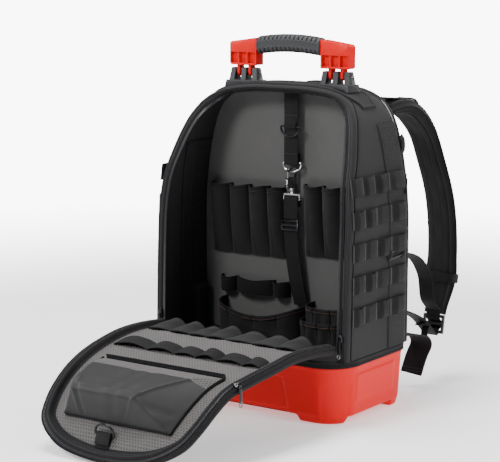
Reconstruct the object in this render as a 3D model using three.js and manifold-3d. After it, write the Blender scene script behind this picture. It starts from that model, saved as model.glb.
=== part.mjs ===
import * as THREE from 'three';
import { mergeVertices } from 'three/addons/utils/BufferGeometryUtils.js';
import Module from 'manifold-3d';

// A tool backpack with a moulded base tray, an arched fabric body whose front is open, and a flap
// that lies forward on the floor. Millimetres, +Z up, +Y to the wearer's back, the flap towards -Y.
// The origin is the centre of the base's footprint, on the floor.

const wasm = await Module();
wasm.setup();

// Driving sizes of the body
const bodyWidth = 343;
const bodyTop = 476;
const bodyFront = -81;
const bodyRear = 92;
const wall = 5;
const gap = 0.3;
const outlineSteps = 14;

// Driving sizes of the base tray
const baseWidth = bodyWidth - 5;
const baseDepth = 186;
const baseHeight = 84;
const baseCorner = 50;
const rearCornerShare = 0.4;
const baseDraft = 5;
const trayWall = 3;
const footRise = 9;
const footLength = 78;
const footDepth = 34;
const recessWidth = 150;
const recessHeight = 62;
const recessDepth = 5;
const centrePad = 20;

// Hem between tray and fabric
const hemHeight = 11;
const hemWall = 4.5;
const hemFloor = 4;
const hemOverhang = 3.3;

// Compartments
const compartmentDepth = 119;
const boardThickness = 3;
const backPadding = 7;
const zipTapeWidth = 7;
const zipTapeThickness = 2;
const lipWidth = 10;

// Handle over the top
const handleSpan = 214;
const bracketLength = 50;
const handleY = 33;
const pinHeight = 15;
const pinRadius = 2;
const earThickness = 9;
const earFoot = 28;
const earTop = 13;
const earCap = 7;
const bracketDrop = 45;
const lugThickness = 5.5;
const lugRadius = 6;
const endDepth = 20;
const endDrop = 11;
const endHeight = 42;
const gripRise = 4.5;
const gripHeight = 27;
const gripDepth = 25;
const plateThickness = 3;
const plateWidth = 54;
const plateEndHeight = 436;
const pinClearance = 0.5;

// Webbing on the sides
const webbing = 1.6;
const webbingWidth = 25;
const rowTop = 355;
const rowPitch = 46.3;
const rowFront = -68;
const bandWidth = 50;
const bandFront = 33;
const loopBulge = 5;

// Flap
const flapHalf = bodyWidth / 2 - 11.5;
const flapThickness = 7;
const flapRim = 16;
const flapRimWidth = 12;
const flapSteps = 17;
const hingeHeight = 106;
const hingeSetback = 11;
const flapReach = 316;
const flapEndHeight = -1.6;
const loopHeight = 13;
const toolLoopStart = 6;
const toolLoopWidth = 44;
const elasticPlace = 0.33;
const elasticWidth = 24;
const cloth = 1.5;

// Inside of the main compartment
const sleeveTop = 318;
const rightSleeveRaise = 8;
const sleeveLength = 108;
const sleeveDepth = 22;
const plierTop = 174;
const plierLength = 24;
const pocketDepth = 40;
const pocketTop = 140;
const pocketStep = 8;
const pocketInset = 4;
const strapWidth = 25;
const strapX = 3;
const ringWire = 1.6;
const ringHeight = 15;
const upperRingHeight = 413;
const lowerRingHeight = 358;
const hookRadius = 9;
const hookThickness = 6;
const hookEye = 5.5;
const boltRadius = 1.9;
const boltStroke = 6;
const knobHeight = 3;
const knobHalf = 1.2;
const knobReach = 6;
const hookCheek = 1;
const neckRadius = 3.4;
const flangeRadius = 5;
const adjusterWire = 3;
const adjusterHeight = 264;
const adjusterSize = 17;
const strapEndHeight = 142;

// Shoulder straps and their webbing
const padWidth = 60;
const padThickness = 14;
const padX = bodyWidth * 0.382;
const padReach = 171;
const padTop = 433;
const padBottom = 104;
const lockWidth = 37;
const lockLength = 30;
const lockThickness = 5;
const lockBar = 5;
const webbingDrop = 90;
const beltFall = 36;
const tailUpper = 221;
const tailLower = 141;
const beltWidth = 38;
const beltThickness = 2.2;
const beltReach = 96;
const beltEnd = 22;

// Colours, roughness and metalness
const look = {
  redMoulding: { color: 0xe8403c, roughness: 0.42, metalness: 0 },
  darkMoulding: { color: 0x35363a, roughness: 0.55, metalness: 0 },
  bodyCloth: { color: 0x3a3a3d, roughness: 0.85, metalness: 0 },
  liningCloth: { color: 0x4c4c4e, roughness: 0.9, metalness: 0 },
  webbingCloth: { color: 0x2c2c2e, roughness: 0.8, metalness: 0 },
  zipMetal: { color: 0x2a2a2c, roughness: 0.4, metalness: 0.6 },
  brightMetal: { color: 0xb9bcc2, roughness: 0.25, metalness: 1 },
};

const part = new THREE.Group();
part.name = 'tool_backpack';

function add(name, geometry, style) {
  const mesh = new THREE.Mesh(geometry, new THREE.MeshStandardMaterial(style));
  mesh.name = name;
  part.add(mesh);
  return mesh;
}

function vec(x, y, z) {
  return new THREE.Vector3(x, y, z);
}

function lerp(a, b, t) {
  return a + (b - a) * t;
}

function clamp01(t) {
  return Math.min(1, Math.max(0, t));
}

// Value of a column at a place in a table whose rows rise in another column
function lookUp(table, at, key, value) {
  for (let i = 1; i < table.length; i += 1) {
    if (at <= table[i][key] || i === table.length - 1) {
      const a = table[i - 1];
      const b = table[i];
      return lerp(a[value], b[value], clamp01((at - a[key]) / (b[key] - a[key])));
    }
  }
  return table[0][value];
}

// A closed body from a list of triangles of points, with shared corners merged and faces outwards
function bodyOf(triangles) {
  const flat = new Float32Array(triangles.length * 9);
  triangles.forEach((corners, i) => {
    corners.forEach((p, j) => flat.set([p.x, p.y, p.z], i * 9 + j * 3));
  });
  const soup = new THREE.BufferGeometry();
  soup.setAttribute('position', new THREE.BufferAttribute(flat, 3));
  const merged = mergeVertices(soup, 1e-3);
  const position = merged.getAttribute('position');
  const source = merged.index.array;
  const index = [];
  let volume = 0;
  const [a, b, c] = [vec(0, 0, 0), vec(0, 0, 0), vec(0, 0, 0)];
  for (let i = 0; i < source.length; i += 3) {
    const [p, q, r] = [source[i], source[i + 1], source[i + 2]];
    if (p !== q && q !== r && r !== p) {
      index.push(p, q, r);
      a.fromBufferAttribute(position, p);
      b.fromBufferAttribute(position, q);
      c.fromBufferAttribute(position, r);
      volume += a.dot(b.cross(c));
    }
  }
  if (volume < 0) {
    for (let i = 0; i < index.length; i += 3) {
      [index[i + 1], index[i + 2]] = [index[i + 2], index[i + 1]];
    }
  }
  merged.setIndex(index);
  merged.computeVertexNormals();
  return merged;
}

function quad(list, a, b, c, d) {
  list.push([a, b, c], [a, c, d]);
}

// Rings of equal length joined one after another, with a fan over each end, or closed on itself
function loft(rings, closed = false) {
  const triangles = [];
  const n = rings[0].length;
  const last = closed ? rings.length : rings.length - 1;
  for (let r = 0; r < last; r += 1) {
    const near = rings[r];
    const far = rings[(r + 1) % rings.length];
    for (let i = 0; i < n; i += 1) {
      const j = (i + 1) % n;
      quad(triangles, near[i], near[j], far[j], far[i]);
    }
  }
  if (!closed) {
    const middle = (ring) => ring.reduce((s, p) => s.add(p), vec(0, 0, 0)).divideScalar(n);
    const start = middle(rings[0]);
    const end = middle(rings[rings.length - 1]);
    for (let i = 0; i < n; i += 1) {
      const j = (i + 1) % n;
      triangles.push([start, rings[0][j], rings[0][i]]);
      triangles.push([end, rings[rings.length - 1][i], rings[rings.length - 1][j]]);
    }
  }
  return bodyOf(triangles);
}

// A sheet with a front and a back grid of points and a narrow border all round. A sheet whose last
// column folds onto itself has no border there.
function sheet(front, back, foldsAtLastColumn = false) {
  const triangles = [];
  const rows = front.length - 1;
  const columns = front[0].length - 1;
  for (let r = 0; r < rows; r += 1) {
    for (let c = 0; c < columns; c += 1) {
      quad(triangles, front[r][c], front[r][c + 1], front[r + 1][c + 1], front[r + 1][c]);
      quad(triangles, back[r][c], back[r + 1][c], back[r + 1][c + 1], back[r][c + 1]);
    }
  }
  for (let c = 0; c < columns; c += 1) {
    quad(triangles, front[0][c + 1], front[0][c], back[0][c], back[0][c + 1]);
    quad(triangles, front[rows][c], front[rows][c + 1], back[rows][c + 1], back[rows][c]);
  }
  for (let r = 0; r < rows; r += 1) {
    quad(triangles, front[r][0], front[r + 1][0], back[r + 1][0], back[r][0]);
    if (!foldsAtLastColumn) {
      quad(triangles, front[r + 1][columns], front[r][columns], back[r][columns], back[r + 1][columns]);
    }
  }
  return bodyOf(triangles);
}

// A sheet from one function of row and column shares that gives a front and a back point
function sheetOf(rows, columns, place) {
  const front = [];
  const back = [];
  for (let r = 0; r <= rows; r += 1) {
    front.push([]);
    back.push([]);
    for (let c = 0; c <= columns; c += 1) {
      const [p, q] = place(r / rows, c / columns, r, c);
      front[r].push(p);
      back[r].push(q);
    }
  }
  return sheet(front, back);
}

// A flat strap along a path of points. Its width direction, width and thickness may vary with the
// share of the way along.
function ribbon(points, across, width, thickness) {
  const rings = points.map((p, i) => {
    const share = i / (points.length - 1);
    const side = (typeof across === 'function' ? across(share) : across.clone()).normalize();
    const before = points[Math.max(0, i - 1)];
    const after = points[Math.min(points.length - 1, i + 1)];
    const along = after.clone().sub(before).normalize();
    const up = along.clone().cross(side).normalize();
    const level = up.clone().cross(along).normalize();
    const w = (typeof width === 'function' ? width(share) : width) / 2;
    const t = (typeof thickness === 'function' ? thickness(share) : thickness) / 2;
    return [[-1, -1], [1, -1], [1, 1], [-1, 1]].map(([a, b]) => (
      p.clone().addScaledVector(level, a * w).addScaledVector(up, b * t)));
  });
  return loft(rings);
}

// Points along a smooth curve through a few chosen places
function curveThrough(places, count) {
  return new THREE.CatmullRomCurve3(places, false, 'centripetal').getSpacedPoints(count);
}

function solidOf(geometry) {
  const bare = geometry.clone();
  bare.deleteAttribute('normal');
  bare.deleteAttribute('uv');
  const merged = mergeVertices(bare, 1e-4);
  return new wasm.Manifold(new wasm.Mesh({
    numProp: 3,
    vertProperties: new Float32Array(merged.getAttribute('position').array),
    triVerts: new Uint32Array(merged.index.array),
  }));
}

function geometryOf(solid) {
  const mesh = solid.getMesh();
  const geometry = new THREE.BufferGeometry();
  geometry.setAttribute('position', new THREE.BufferAttribute(new Float32Array(mesh.vertProperties), 3));
  geometry.setIndex(Array.from(mesh.triVerts));
  geometry.computeVertexNormals();
  return geometry;
}

function box(x0, x1, y0, y1, z0, z1) {
  const geometry = new THREE.BoxGeometry(Math.abs(x1 - x0), Math.abs(y1 - y0), Math.abs(z1 - z0));
  geometry.translate((x0 + x1) / 2, (y0 + y1) / 2, (z0 + z1) / 2);
  return geometry;
}

// A round bar between two places on an axis through a centre
function bar(axis, centre, from, to, radius, sides = 12) {
  const geometry = new THREE.CylinderGeometry(radius, radius, to - from, sides);
  geometry.translate(0, (from + to) / 2, 0);
  if (axis === 'x') geometry.rotateZ(-Math.PI / 2);
  if (axis === 'z') geometry.rotateX(Math.PI / 2);
  geometry.translate(centre.x, centre.y, centre.z);
  return geometry;
}

function cut(body, ...tools) {
  return geometryOf(tools.reduce((solid, tool) => solid.subtract(solidOf(tool)), solidOf(body)));
}

function join(...bodies) {
  return geometryOf(bodies.slice(1).reduce((solid, b) => solid.add(solidOf(b)), solidOf(bodies[0])));
}

function common(a, b) {
  return geometryOf(solidOf(a).intersect(solidOf(b)));
}

// Outline of the body, seen from the front: half width and height as shares
const archTable = [
  { height: 0.25, half: 1 },
  { height: 0.5, half: 1 },
  { height: 0.653, half: 0.972 },
  { height: 0.806, half: 0.906 },
  { height: 0.895, half: 0.832 },
  { height: 0.946, half: 0.738 },
  { height: 0.98, half: 0.58 },
  { height: 0.997, half: 0.33 },
  { height: 1, half: 0 },
];

// How far the mouth's edge leans back, as shares of height and of the body's depth
const leanTable = [
  { height: 0, back: 0 },
  { height: 0.4, back: 0.029 },
  { height: 0.55, back: 0.052 },
  { height: 0.653, back: 0.088 },
  { height: 0.755, back: 0.183 },
  { height: 0.844, back: 0.276 },
  { height: 0.921, back: 0.379 },
  { height: 0.96, back: 0.44 },
  { height: 1, back: 0.474 },
];

const bodyHeight = bodyTop - baseHeight;
const shellBottom = baseHeight + gap + hemHeight + gap;
const floorTop = baseHeight + gap + hemFloor;
const boardFront = compartmentDepth + bodyFront + wall;

const upperHalf = (() => {
  const places = archTable.map((row) => (
    vec(bodyWidth / 2 * row.half, 0, baseHeight + bodyHeight * row.height)));
  const curve = new THREE.CatmullRomCurve3(places, false, 'centripetal');
  const start = 1 / (places.length - 1);
  const points = [];
  for (let i = 0; i <= outlineSteps; i += 1) {
    points.push(curve.getPoint(lerp(start, 1, i / outlineSteps)));
  }
  points[outlineSteps].x = 0;
  return points;
})();

// The outline from one foot over the top to the other, moved outwards by an offset
function archOutline(bottom, offset) {
  const right = [vec(bodyWidth / 2, 0, bottom), ...upperHalf];
  const all = [...right.map((p) => vec(-p.x, 0, p.z)), ...right.slice(0, -1).reverse()];
  return all.map((p, i) => {
    const a = all[Math.max(0, i - 1)];
    const b = all[Math.min(all.length - 1, i + 1)];
    const first = p.clone().sub(i > 0 ? a : p.clone().sub(b.clone().sub(p))).normalize();
    const second = (i < all.length - 1 ? b.clone().sub(p) : p.clone().sub(a)).normalize();
    const middle = first.clone().add(second).normalize();
    const out = vec(-middle.z, 0, middle.x);
    const mitre = 1 / Math.max(0.5, middle.dot(second));
    return p.clone().addScaledVector(out, offset * mitre);
  });
}

// Half width of the outline at a height, moved outwards by an offset
function halfAt(height, offset) {
  const side = archOutline(shellBottom, offset).slice(0, outlineSteps + 2);
  const table = side.map((p) => ({ z: p.z, x: -p.x }));
  return lookUp(table, height, 'z', 'x');
}

function mouthAt(height) {
  const share = clamp01((height - baseHeight) / bodyHeight);
  return bodyFront + (bodyRear - bodyFront) * lookUp(leanTable, share, 'height', 'back');
}

// Rounded rectangle, counted the same way round at every height, with tighter corners at the rear
function roundedRing(halfX, halfY, corner, z, steps = 5) {
  const ring = [];
  const turns = [[1, 1], [-1, 1], [-1, -1], [1, -1]];
  turns.forEach(([sx, sy], turn) => {
    const radius = sy > 0 ? corner * rearCornerShare : corner;
    for (let i = 0; i <= steps; i += 1) {
      const angle = (turn + i / steps) * Math.PI / 2;
      ring.push(vec(
        sx * (halfX - radius) + radius * Math.cos(angle),
        sy * (halfY - radius) + radius * Math.sin(angle),
        z,
      ));
    }
  });
  return ring;
}

function makeBaseTray() {
  const draftAt = (z) => baseDraft * (1 - z / baseHeight);
  const ring = (z, inset) => roundedRing(
    baseWidth / 2 - draftAt(z) - inset,
    baseDepth / 2 - draftAt(z) - inset,
    baseCorner - inset,
    z,
  );
  const bevel = 4;
  const outer = loft([
    ring(footRise, bevel),
    ring(footRise + bevel, 0),
    ring(baseHeight, 0),
  ]);
  const floor = footRise + trayWall;
  const inner = loft([ring(floor, trayWall + bevel), ring(floor + bevel, trayWall), ring(baseHeight + 1, trayWall)]);
  const recess = (grow) => box(
    -recessWidth / 2 - grow,
    recessWidth / 2 + grow,
    -baseDepth,
    -baseDepth / 2 + draftAt(0) + recessDepth + grow,
    0,
    recessHeight + grow,
  );
  const foot = loft([ring(0, bevel * 1.5), ring(footRise + bevel, bevel * 1.2)]);
  const corners = [];
  [-1, 1].forEach((sx) => {
    [-1, 1].forEach((sy) => {
      const x = sx * baseWidth / 2;
      const y = sy * baseDepth / 2;
      corners.push(box(
        Math.min(x, x - sx * footLength),
        Math.max(x, x - sx * footLength),
        Math.min(y, y - sy * footDepth),
        Math.max(y, y - sy * footDepth),
        0,
        footRise + 1,
      ));
    });
  });
  let solid = solidOf(cut(outer, recess(0)));
  solid = solid.subtract(solidOf(cut(inner, recess(trayWall))));
  corners.forEach((corner) => {
    solid = solid.add(solidOf(common(foot, corner)));
  });
  solid = solid.add(solidOf(bar('z', vec(0, 0, 0), 0, footRise + 1, centrePad, 16)));
  return geometryOf(solid);
}

function makeHem() {
  const bottom = baseHeight + gap;
  const grow = hemOverhang;
  const ring = (z, inset) => roundedRing(
    baseWidth / 2 + grow - inset,
    baseDepth / 2 + grow - inset,
    baseCorner + grow - inset,
    z,
  );
  const outer = loft([ring(bottom, 1), ring(bottom + hemHeight / 3, 0), ring(bottom + hemHeight, 0)]);
  const inner = loft([ring(floorTop, hemWall), ring(bottom + hemHeight + 1, hemWall)]);
  return cut(outer, inner);
}

// Columns of the shell's wall from the mouth to the rear: a place and an inset for both faces
const shellColumns = [
  { from: 'front', along: 0, outer: 1.4, inner: 2 },
  { from: 'front', along: 0.5, outer: 0.4, inner: 1.3 },
  { from: 'front', along: 1.8, outer: 0, inner: 1 },
  { from: 'rear', along: -2.4, outer: 0, inner: 1 },
  { from: 'rear', along: -0.8, outer: 0.5, inner: 1.5 },
  { from: 'rear', along: 0, outer: 1.6, inner: 2.2 },
];

function makeShell() {
  const grid = (key) => {
    const rows = shellColumns.map((column) => archOutline(shellBottom, -column[key] * wall));
    const plain = archOutline(shellBottom, 0);
    return plain.map((p, i) => shellColumns.map((column, c) => {
      const start = column.from === 'front' ? mouthAt(p.z) : bodyRear;
      const q = rows[c][i];
      return vec(q.x, start + column.along * wall, Math.max(q.z, shellBottom));
    }));
  };
  return sheet(grid('outer'), grid('inner'));
}

function makeMouthTape() {
  const plain = archOutline(shellBottom, 0);
  const near = archOutline(shellBottom, -lipWidth - gap);
  const far = archOutline(shellBottom, -lipWidth - gap - zipTapeWidth);
  const grid = (depth) => plain.map((p, i) => [near[i], far[i]].map((q) => (
    vec(q.x, mouthAt(p.z) + depth, Math.max(q.z, shellBottom)))));
  return sheet(grid(0), grid(zipTapeThickness));
}

function archPlate(bottom, sections) {
  return loft(sections.map(({ y, offset }) => archOutline(bottom, offset).map((p) => vec(p.x, y, p.z))));
}

function makeBoard() {
  return archPlate(floorTop + gap, [
    { y: boardFront, offset: -wall - gap },
    { y: boardFront + boardThickness, offset: -wall - gap },
  ]);
}

function makeBackPanel() {
  const start = bodyRear + gap;
  return archPlate(shellBottom, [
    { y: start, offset: -wall },
    { y: start + backPadding * 0.5, offset: -wall * 0.8 },
    { y: start + backPadding, offset: -wall * 2 },
  ]);
}

// Fabric plate that runs over the top, under the handle
const plateRear = handleY + plateWidth / 2;
const plateFront = handleY - plateWidth / 2;

function makeHandlePlate() {
  const inner = archOutline(shellBottom, gap);
  const outer = archOutline(shellBottom, gap + plateThickness);
  const used = inner.map((p, i) => i).filter((i) => inner[i].z > plateEndHeight);
  const grid = (list) => used.map((i) => {
    const end = i === used[0] || i === used[used.length - 1];
    const draw = end ? plateWidth / 6 : 0;
    return [plateFront + draw, handleY, plateRear - draw].map((y) => vec(list[i].x, y, list[i].z));
  });
  return sheet(grid(outer), grid(inner));
}

const pinZ = bodyTop + pinHeight;
const innerX = handleSpan / 2 - bracketLength;

function trapezoid(x0, x1, low, high, foot, top) {
  const ring = (x) => [
    vec(x, handleY - foot / 2, low),
    vec(x, handleY + foot / 2, low),
    vec(x, handleY + top / 2, high),
    vec(x, handleY - top / 2, high),
  ];
  return loft([ring(x0), ring(x1)]);
}

// Three ears with two lug spaces between them
const lugSpace = (bracketLength - 3 * earThickness) / 2;

function makeBracket(side) {
  const start = side > 0 ? innerX : -innerX - bracketLength;
  const low = bodyTop - bracketDrop;
  const baseTop = bodyTop + plateThickness + gap;
  const pieces = [trapezoid(start - 1, start + bracketLength + 1, low, baseTop, earFoot + 6, earFoot + 2)];
  for (let i = 0; i < 3; i += 1) {
    const x = start + i * (earThickness + lugSpace);
    pieces.push(trapezoid(x, x + earThickness, low, pinZ + earCap, earFoot, earTop));
  }
  const under = loft([-1, 1].map((s) => {
    const line = archOutline(baseHeight, 2 * gap + plateThickness);
    return line.map((p) => vec(p.x, handleY + s * earFoot, p.z));
  }));
  const bore = bar('x', vec(0, handleY, pinZ), start - 5, start + bracketLength + 5, pinRadius + gap);
  return cut(join(...pieces), under, bore);
}

function makePin(side) {
  const start = side > 0 ? innerX : -innerX - bracketLength;
  return bar('x', vec(0, handleY, pinZ), start - 0.5, start + bracketLength + 0.5, pinRadius);
}

// Handle end: a block with two lugs that stand between the ears, windows in its faces and a channel on top
const windowDepth = 6;
const channelDepth = 1.5;

function makeHandleEnd(side) {
  const start = side > 0 ? innerX : -innerX - bracketLength;
  const low = pinZ + endDrop;
  const slope = endHeight / 6;
  const heightAt = (x) => {
    const share = (side > 0 ? start + bracketLength - x : x - start) / bracketLength;
    return low + endHeight - slope + slope * share;
  };
  const ring = (x, inset) => [
    vec(x, handleY - endDepth / 2 + inset, low + inset),
    vec(x, handleY + endDepth / 2 - inset, low + inset),
    vec(x, handleY + endDepth / 2 - inset, heightAt(x) - inset),
    vec(x, handleY - endDepth / 2 + inset, heightAt(x) - inset),
  ];
  const block = loft([
    ring(start, side < 0 ? 2 : 0.3),
    ring(start + 4, 0),
    ring(start + bracketLength - 4, 0),
    ring(start + bracketLength, side > 0 ? 2 : 0.3),
  ]);
  const pieces = [block];
  const bores = [];
  for (let i = 0; i < 2; i += 1) {
    const x = start + earThickness + i * (earThickness + lugSpace) + (lugSpace - lugThickness) / 2;
    pieces.push(bar('x', vec(0, handleY, pinZ), x, x + lugThickness, lugRadius));
    pieces.push(box(x, x + lugThickness, handleY - lugRadius, handleY + lugRadius, pinZ, low + 1));
    bores.push(bar('x', vec(0, handleY, pinZ), x - 1, x + lugThickness + 1, pinRadius + pinClearance));
  }
  const pocket = 3;
  const topChannel = box(
    start + pocket + 1,
    start + bracketLength - pocket - 1,
    handleY - endDepth / 5,
    handleY + endDepth / 5,
    low + endHeight - slope - channelDepth,
    low + endHeight + 1,
  );
  const windows = [topChannel];
  for (let i = 0; i < 3; i += 1) {
    const width = (bracketLength - 4 * pocket) / 3;
    const x = start + pocket + i * (width + pocket);
    [-1, 1].forEach((s) => {
      const face = handleY + s * endDepth / 2;
      windows.push(box(
        x,
        x + width,
        Math.min(face, face - s * windowDepth),
        Math.max(face, face - s * windowDepth),
        low + pocket,
        low + endHeight / 2 - pocket / 2,
      ));
    });
  }
  return cut(join(...pieces), ...bores, ...windows);
}

function makeGrip() {
  const reach = innerX - gap;
  const steps = 12;
  const rings = [];
  const sides = 10;
  const middleAt = (share) => pinZ + endDrop + endHeight - gripHeight / 2 + gripRise * (1 - share * share) + 2;
  for (let i = 0; i <= steps; i += 1) {
    const share = -1 + 2 * i / steps;
    const ring = [];
    for (let k = 0; k < sides; k += 1) {
      const angle = 2 * Math.PI * k / sides;
      const shrink = i === 0 || i === steps ? 0.86 : 1;
      ring.push(vec(
        share * reach,
        handleY + shrink * gripDepth / 2 * Math.cos(angle),
        middleAt(share) + shrink * gripHeight / 2 * Math.sin(angle),
      ));
    }
    rings.push(ring);
  }
  return loft(rings);
}

// Upright band on a side, from the hem to under the handle plate
function makeSideBand(side) {
  const line = archOutline(shellBottom, gap).slice(0, outlineSteps + 2);
  const outer = archOutline(shellBottom, gap + webbing).slice(0, outlineSteps + 2);
  const used = line.map((p, i) => i).filter((i) => line[i].z < plateEndHeight - webbingWidth / 2);
  const grid = (list) => used.map((i) => [bandFront, bandFront + bandWidth].map((y) => (
    vec(side * Math.abs(list[i].x), y, list[i].z))));
  return sheet(grid(outer), grid(line));
}

// Places of the stitched bars along one webbing row, as shares of its length
const rowBars = [0, 0.22, 0.44, 0.7, 1];

function makeRow(side, index) {
  const top = rowTop - index * rowPitch;
  const rowRear = bandFront + bandWidth;
  const seat = 3 * gap;
  const stations = [];
  for (let k = 1; k < rowBars.length; k += 1) {
    [0.08, 0.35, 0.65, 0.92].forEach((t) => {
      stations.push({ share: lerp(rowBars[k - 1], rowBars[k], t), lift: t > 0.2 && t < 0.8 ? 1 : 0 });
    });
  }
  const uneven = (k) => 0.55 + 0.45 * Math.abs(Math.sin(2.1 * k + 1.7 * index));
  const place = (r, c, row, column) => {
    const { share, lift } = stations[column];
    const y = lerp(rowFront, rowRear, share);
    const z = top - r * webbingWidth;
    const over = y > bandFront - webbingWidth / 4 ? webbing + gap : 0;
    const x = halfAt(z, seat + over + lift * loopBulge * uneven(Math.floor(column / 4)));
    return [vec(side * (x + webbing), y, z), vec(side * x, y, z)];
  };
  const body = sheetOf(2, stations.length - 1, place);
  return body;
}

// Flap: the line of its underside from the hinge to the tip, as shares of reach and height
const flapLine = [
  { reach: 0, height: 1 },
  { reach: 0.152, height: 1.039 },
  { reach: 0.31, height: 1.039 },
  { reach: 0.437, height: 0.99 },
  { reach: 0.576, height: 0.922 },
  { reach: 0.703, height: 0.825 },
  { reach: 0.791, height: 0.68 },
  { reach: 0.867, height: 0.505 },
  { reach: 0.937, height: 0.311 },
  { reach: 0.975, height: 0.155 },
  { reach: 1, height: 0 },
];

// Half width of the flap as a share, against the share of its length
const flapOutline = [
  { along: 0, half: 1 },
  { along: 0.28, half: 0.975 },
  { along: 0.39, half: 0.965 },
  { along: 0.52, half: 0.93 },
  { along: 0.63, half: 0.885 },
  { along: 0.72, half: 0.865 },
  { along: 0.81, half: 0.835 },
  { along: 0.89, half: 0.77 },
  { along: 0.945, half: 0.62 },
  { along: 0.98, half: 0.42 },
  { along: 1, half: 0 },
];

const flapCurve = new THREE.CatmullRomCurve3(flapLine.map((row) => vec(
  0,
  bodyFront - hingeSetback - flapReach * row.reach,
  flapEndHeight + (hingeHeight - flapEndHeight) * row.height,
)), false, 'centripetal');
const flapLength = flapCurve.getLength();

// A point of the flap from its place along, across and above the underside
function flapPoint(along, across, above) {
  const share = clamp01(along / flapLength);
  const p = flapCurve.getPointAt(share);
  const t = flapCurve.getTangentAt(share);
  return vec(across, p.y + above * t.z, p.z - above * t.y);
}

function flapHalfAt(along) {
  return flapHalf * lookUp(flapOutline, along / flapLength, 'along', 'half');
}

// Rings from the flap's edge to its middle line: an inset and the heights of both faces
const flapRings = [
  { inset: 0, low: 0.3, high: 0.8 },
  { inset: 0.35, low: 0.06, high: 1 },
  { inset: 0.8, low: 0, high: 0.9 },
  { inset: 1.1, low: 0, high: 0.45 },
];

function makeFlap() {
  const half = [];
  for (let i = 0; i <= flapSteps; i += 1) {
    const share = Math.sin(i / flapSteps * Math.PI / 2);
    half.push({ along: share * flapLength, across: flapHalfAt(share * flapLength) });
  }
  const edge = [
    ...half.map((p) => ({ along: p.along, across: -p.across })),
    ...half.slice(0, -1).reverse(),
  ];
  const core = flapLength - flapHalf / 2;
  const inwards = (p, inset) => {
    const target = { along: Math.min(p.along, core), across: 0 };
    const away = Math.hypot(p.along - target.along, p.across);
    const t = Math.min(0.9, inset * flapRimWidth / away);
    return { along: lerp(p.along, target.along, t), across: lerp(p.across, 0, t) };
  };
  const lower = [];
  const upper = [];
  edge.forEach((p) => {
    const down = flapRings.map((ring) => {
      const q = inwards(p, ring.inset);
      return flapPoint(q.along, q.across, ring.low * flapRim);
    });
    const up = flapRings.map((ring) => {
      const q = inwards(p, ring.inset);
      return flapPoint(q.along, q.across, ring.high * flapRim);
    });
    const middle = Math.min(p.along, core);
    const rim = inwards(p, flapRings[flapRings.length - 1].inset);
    [0.3, 0.62, 1].forEach((t) => {
      const along = lerp(rim.along, middle, t);
      down.push(flapPoint(along, rim.across * (1 - t), 0));
      up.push(flapPoint(along, rim.across * (1 - t), flapThickness));
    });
    lower.push(down);
    upper.push(up);
  });
  return sheet(lower, upper, true);
}

// A band of cloth on the flap, flat at its seams and lifted into loops between them
function flapBand(along, width, seams, lift, lean) {
  const stations = [];
  for (let k = 1; k < seams.length; k += 1) {
    [0.06, 0.3, 0.5, 0.7, 0.94].forEach((t) => {
      const rise = Math.sin(Math.PI * clamp01((t - 0.06) / 0.88));
      stations.push({ across: lerp(seams[k - 1], seams[k], t), rise });
    });
  }
  const inner = flapThickness + 2 * gap;
  return sheetOf(1, stations.length - 1, (r, c, row, column) => {
    const { across, rise } = stations[column];
    const s = along + r * width;
    const high = inner + rise * lift * (1 - lean * r);
    return [flapPoint(s, across, high + cloth), flapPoint(s, across, high)];
  });
}

const toolLoopSeams = [-0.86, -0.62, -0.4, -0.2, 0.02, 0.3, 0.56, 0.78].map((s) => s * flapHalf);
const elasticSeams = [-0.8, -0.42, -0.12, 0.12, 0.34, 0.62, 0.8].map((s) => s * flapHalf);

// Bellows pocket near the flap's tip: its height across and along, as shares
const pocketAlong = [
  { along: 0, rise: 0 },
  { along: 0.15, rise: 0.36 },
  { along: 0.42, rise: 0.72 },
  { along: 0.7, rise: 1 },
  { along: 0.86, rise: 0.82 },
  { along: 1, rise: 0 },
];
const flapPocketStart = 0.535;
const flapPocketEnd = 0.85;
const flapPocketHalf = 0.66;
const flapPocketTaper = 0.14;
const flapPocketHeight = 34;

function makeFlapPocket() {
  const inner = flapThickness + 2 * gap;
  const acrossRise = [0, 0.75, 1, 0.92, 0.86, 0.9, 1, 0.8, 0];
  return sheetOf(6, acrossRise.length - 1, (r, c, row, column) => {
    const along = lerp(flapPocketStart, flapPocketEnd, r) * flapLength;
    const narrow = 1 - flapPocketTaper * r;
    const across = lerp(-1, 1, c) * flapPocketHalf * narrow * flapHalf;
    const rise = lookUp(pocketAlong, r, 'along', 'rise') * acrossRise[column] * flapPocketHeight;
    const back = rise > 0 ? Math.max(0, rise - cloth) : 0;
    return [flapPoint(along, across, inner + rise + cloth), flapPoint(along, across, inner + back)];
  });
}

const tabAlong = 0.9;
const tabWidth = 24;
const tabLength = 16;
const tabAcross = -8;

// Tab sewn near the tip: it folds round the ring's bar on the side of the pocket
const tabSeat = flapThickness + gap + webbing / 2 + gap;

function makeFlapTab() {
  const start = tabAlong * flapLength;
  const out = foldRadius(ringWire);
  const places = [[start + tabLength, tabSeat], [start, tabSeat]];
  for (let i = 1; i <= 6; i += 1) {
    const angle = Math.PI * i / 6;
    places.push([start - out * Math.sin(angle), tabSeat + out * (1 - Math.cos(angle))]);
  }
  places.push([start + tabLength * 0.7, tabSeat + webbing + 2 * gap]);
  return ribbon(places.map(([s, h]) => flapPoint(s, tabAcross, h)), vec(1, 0, 0), tabWidth, webbing);
}

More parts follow.
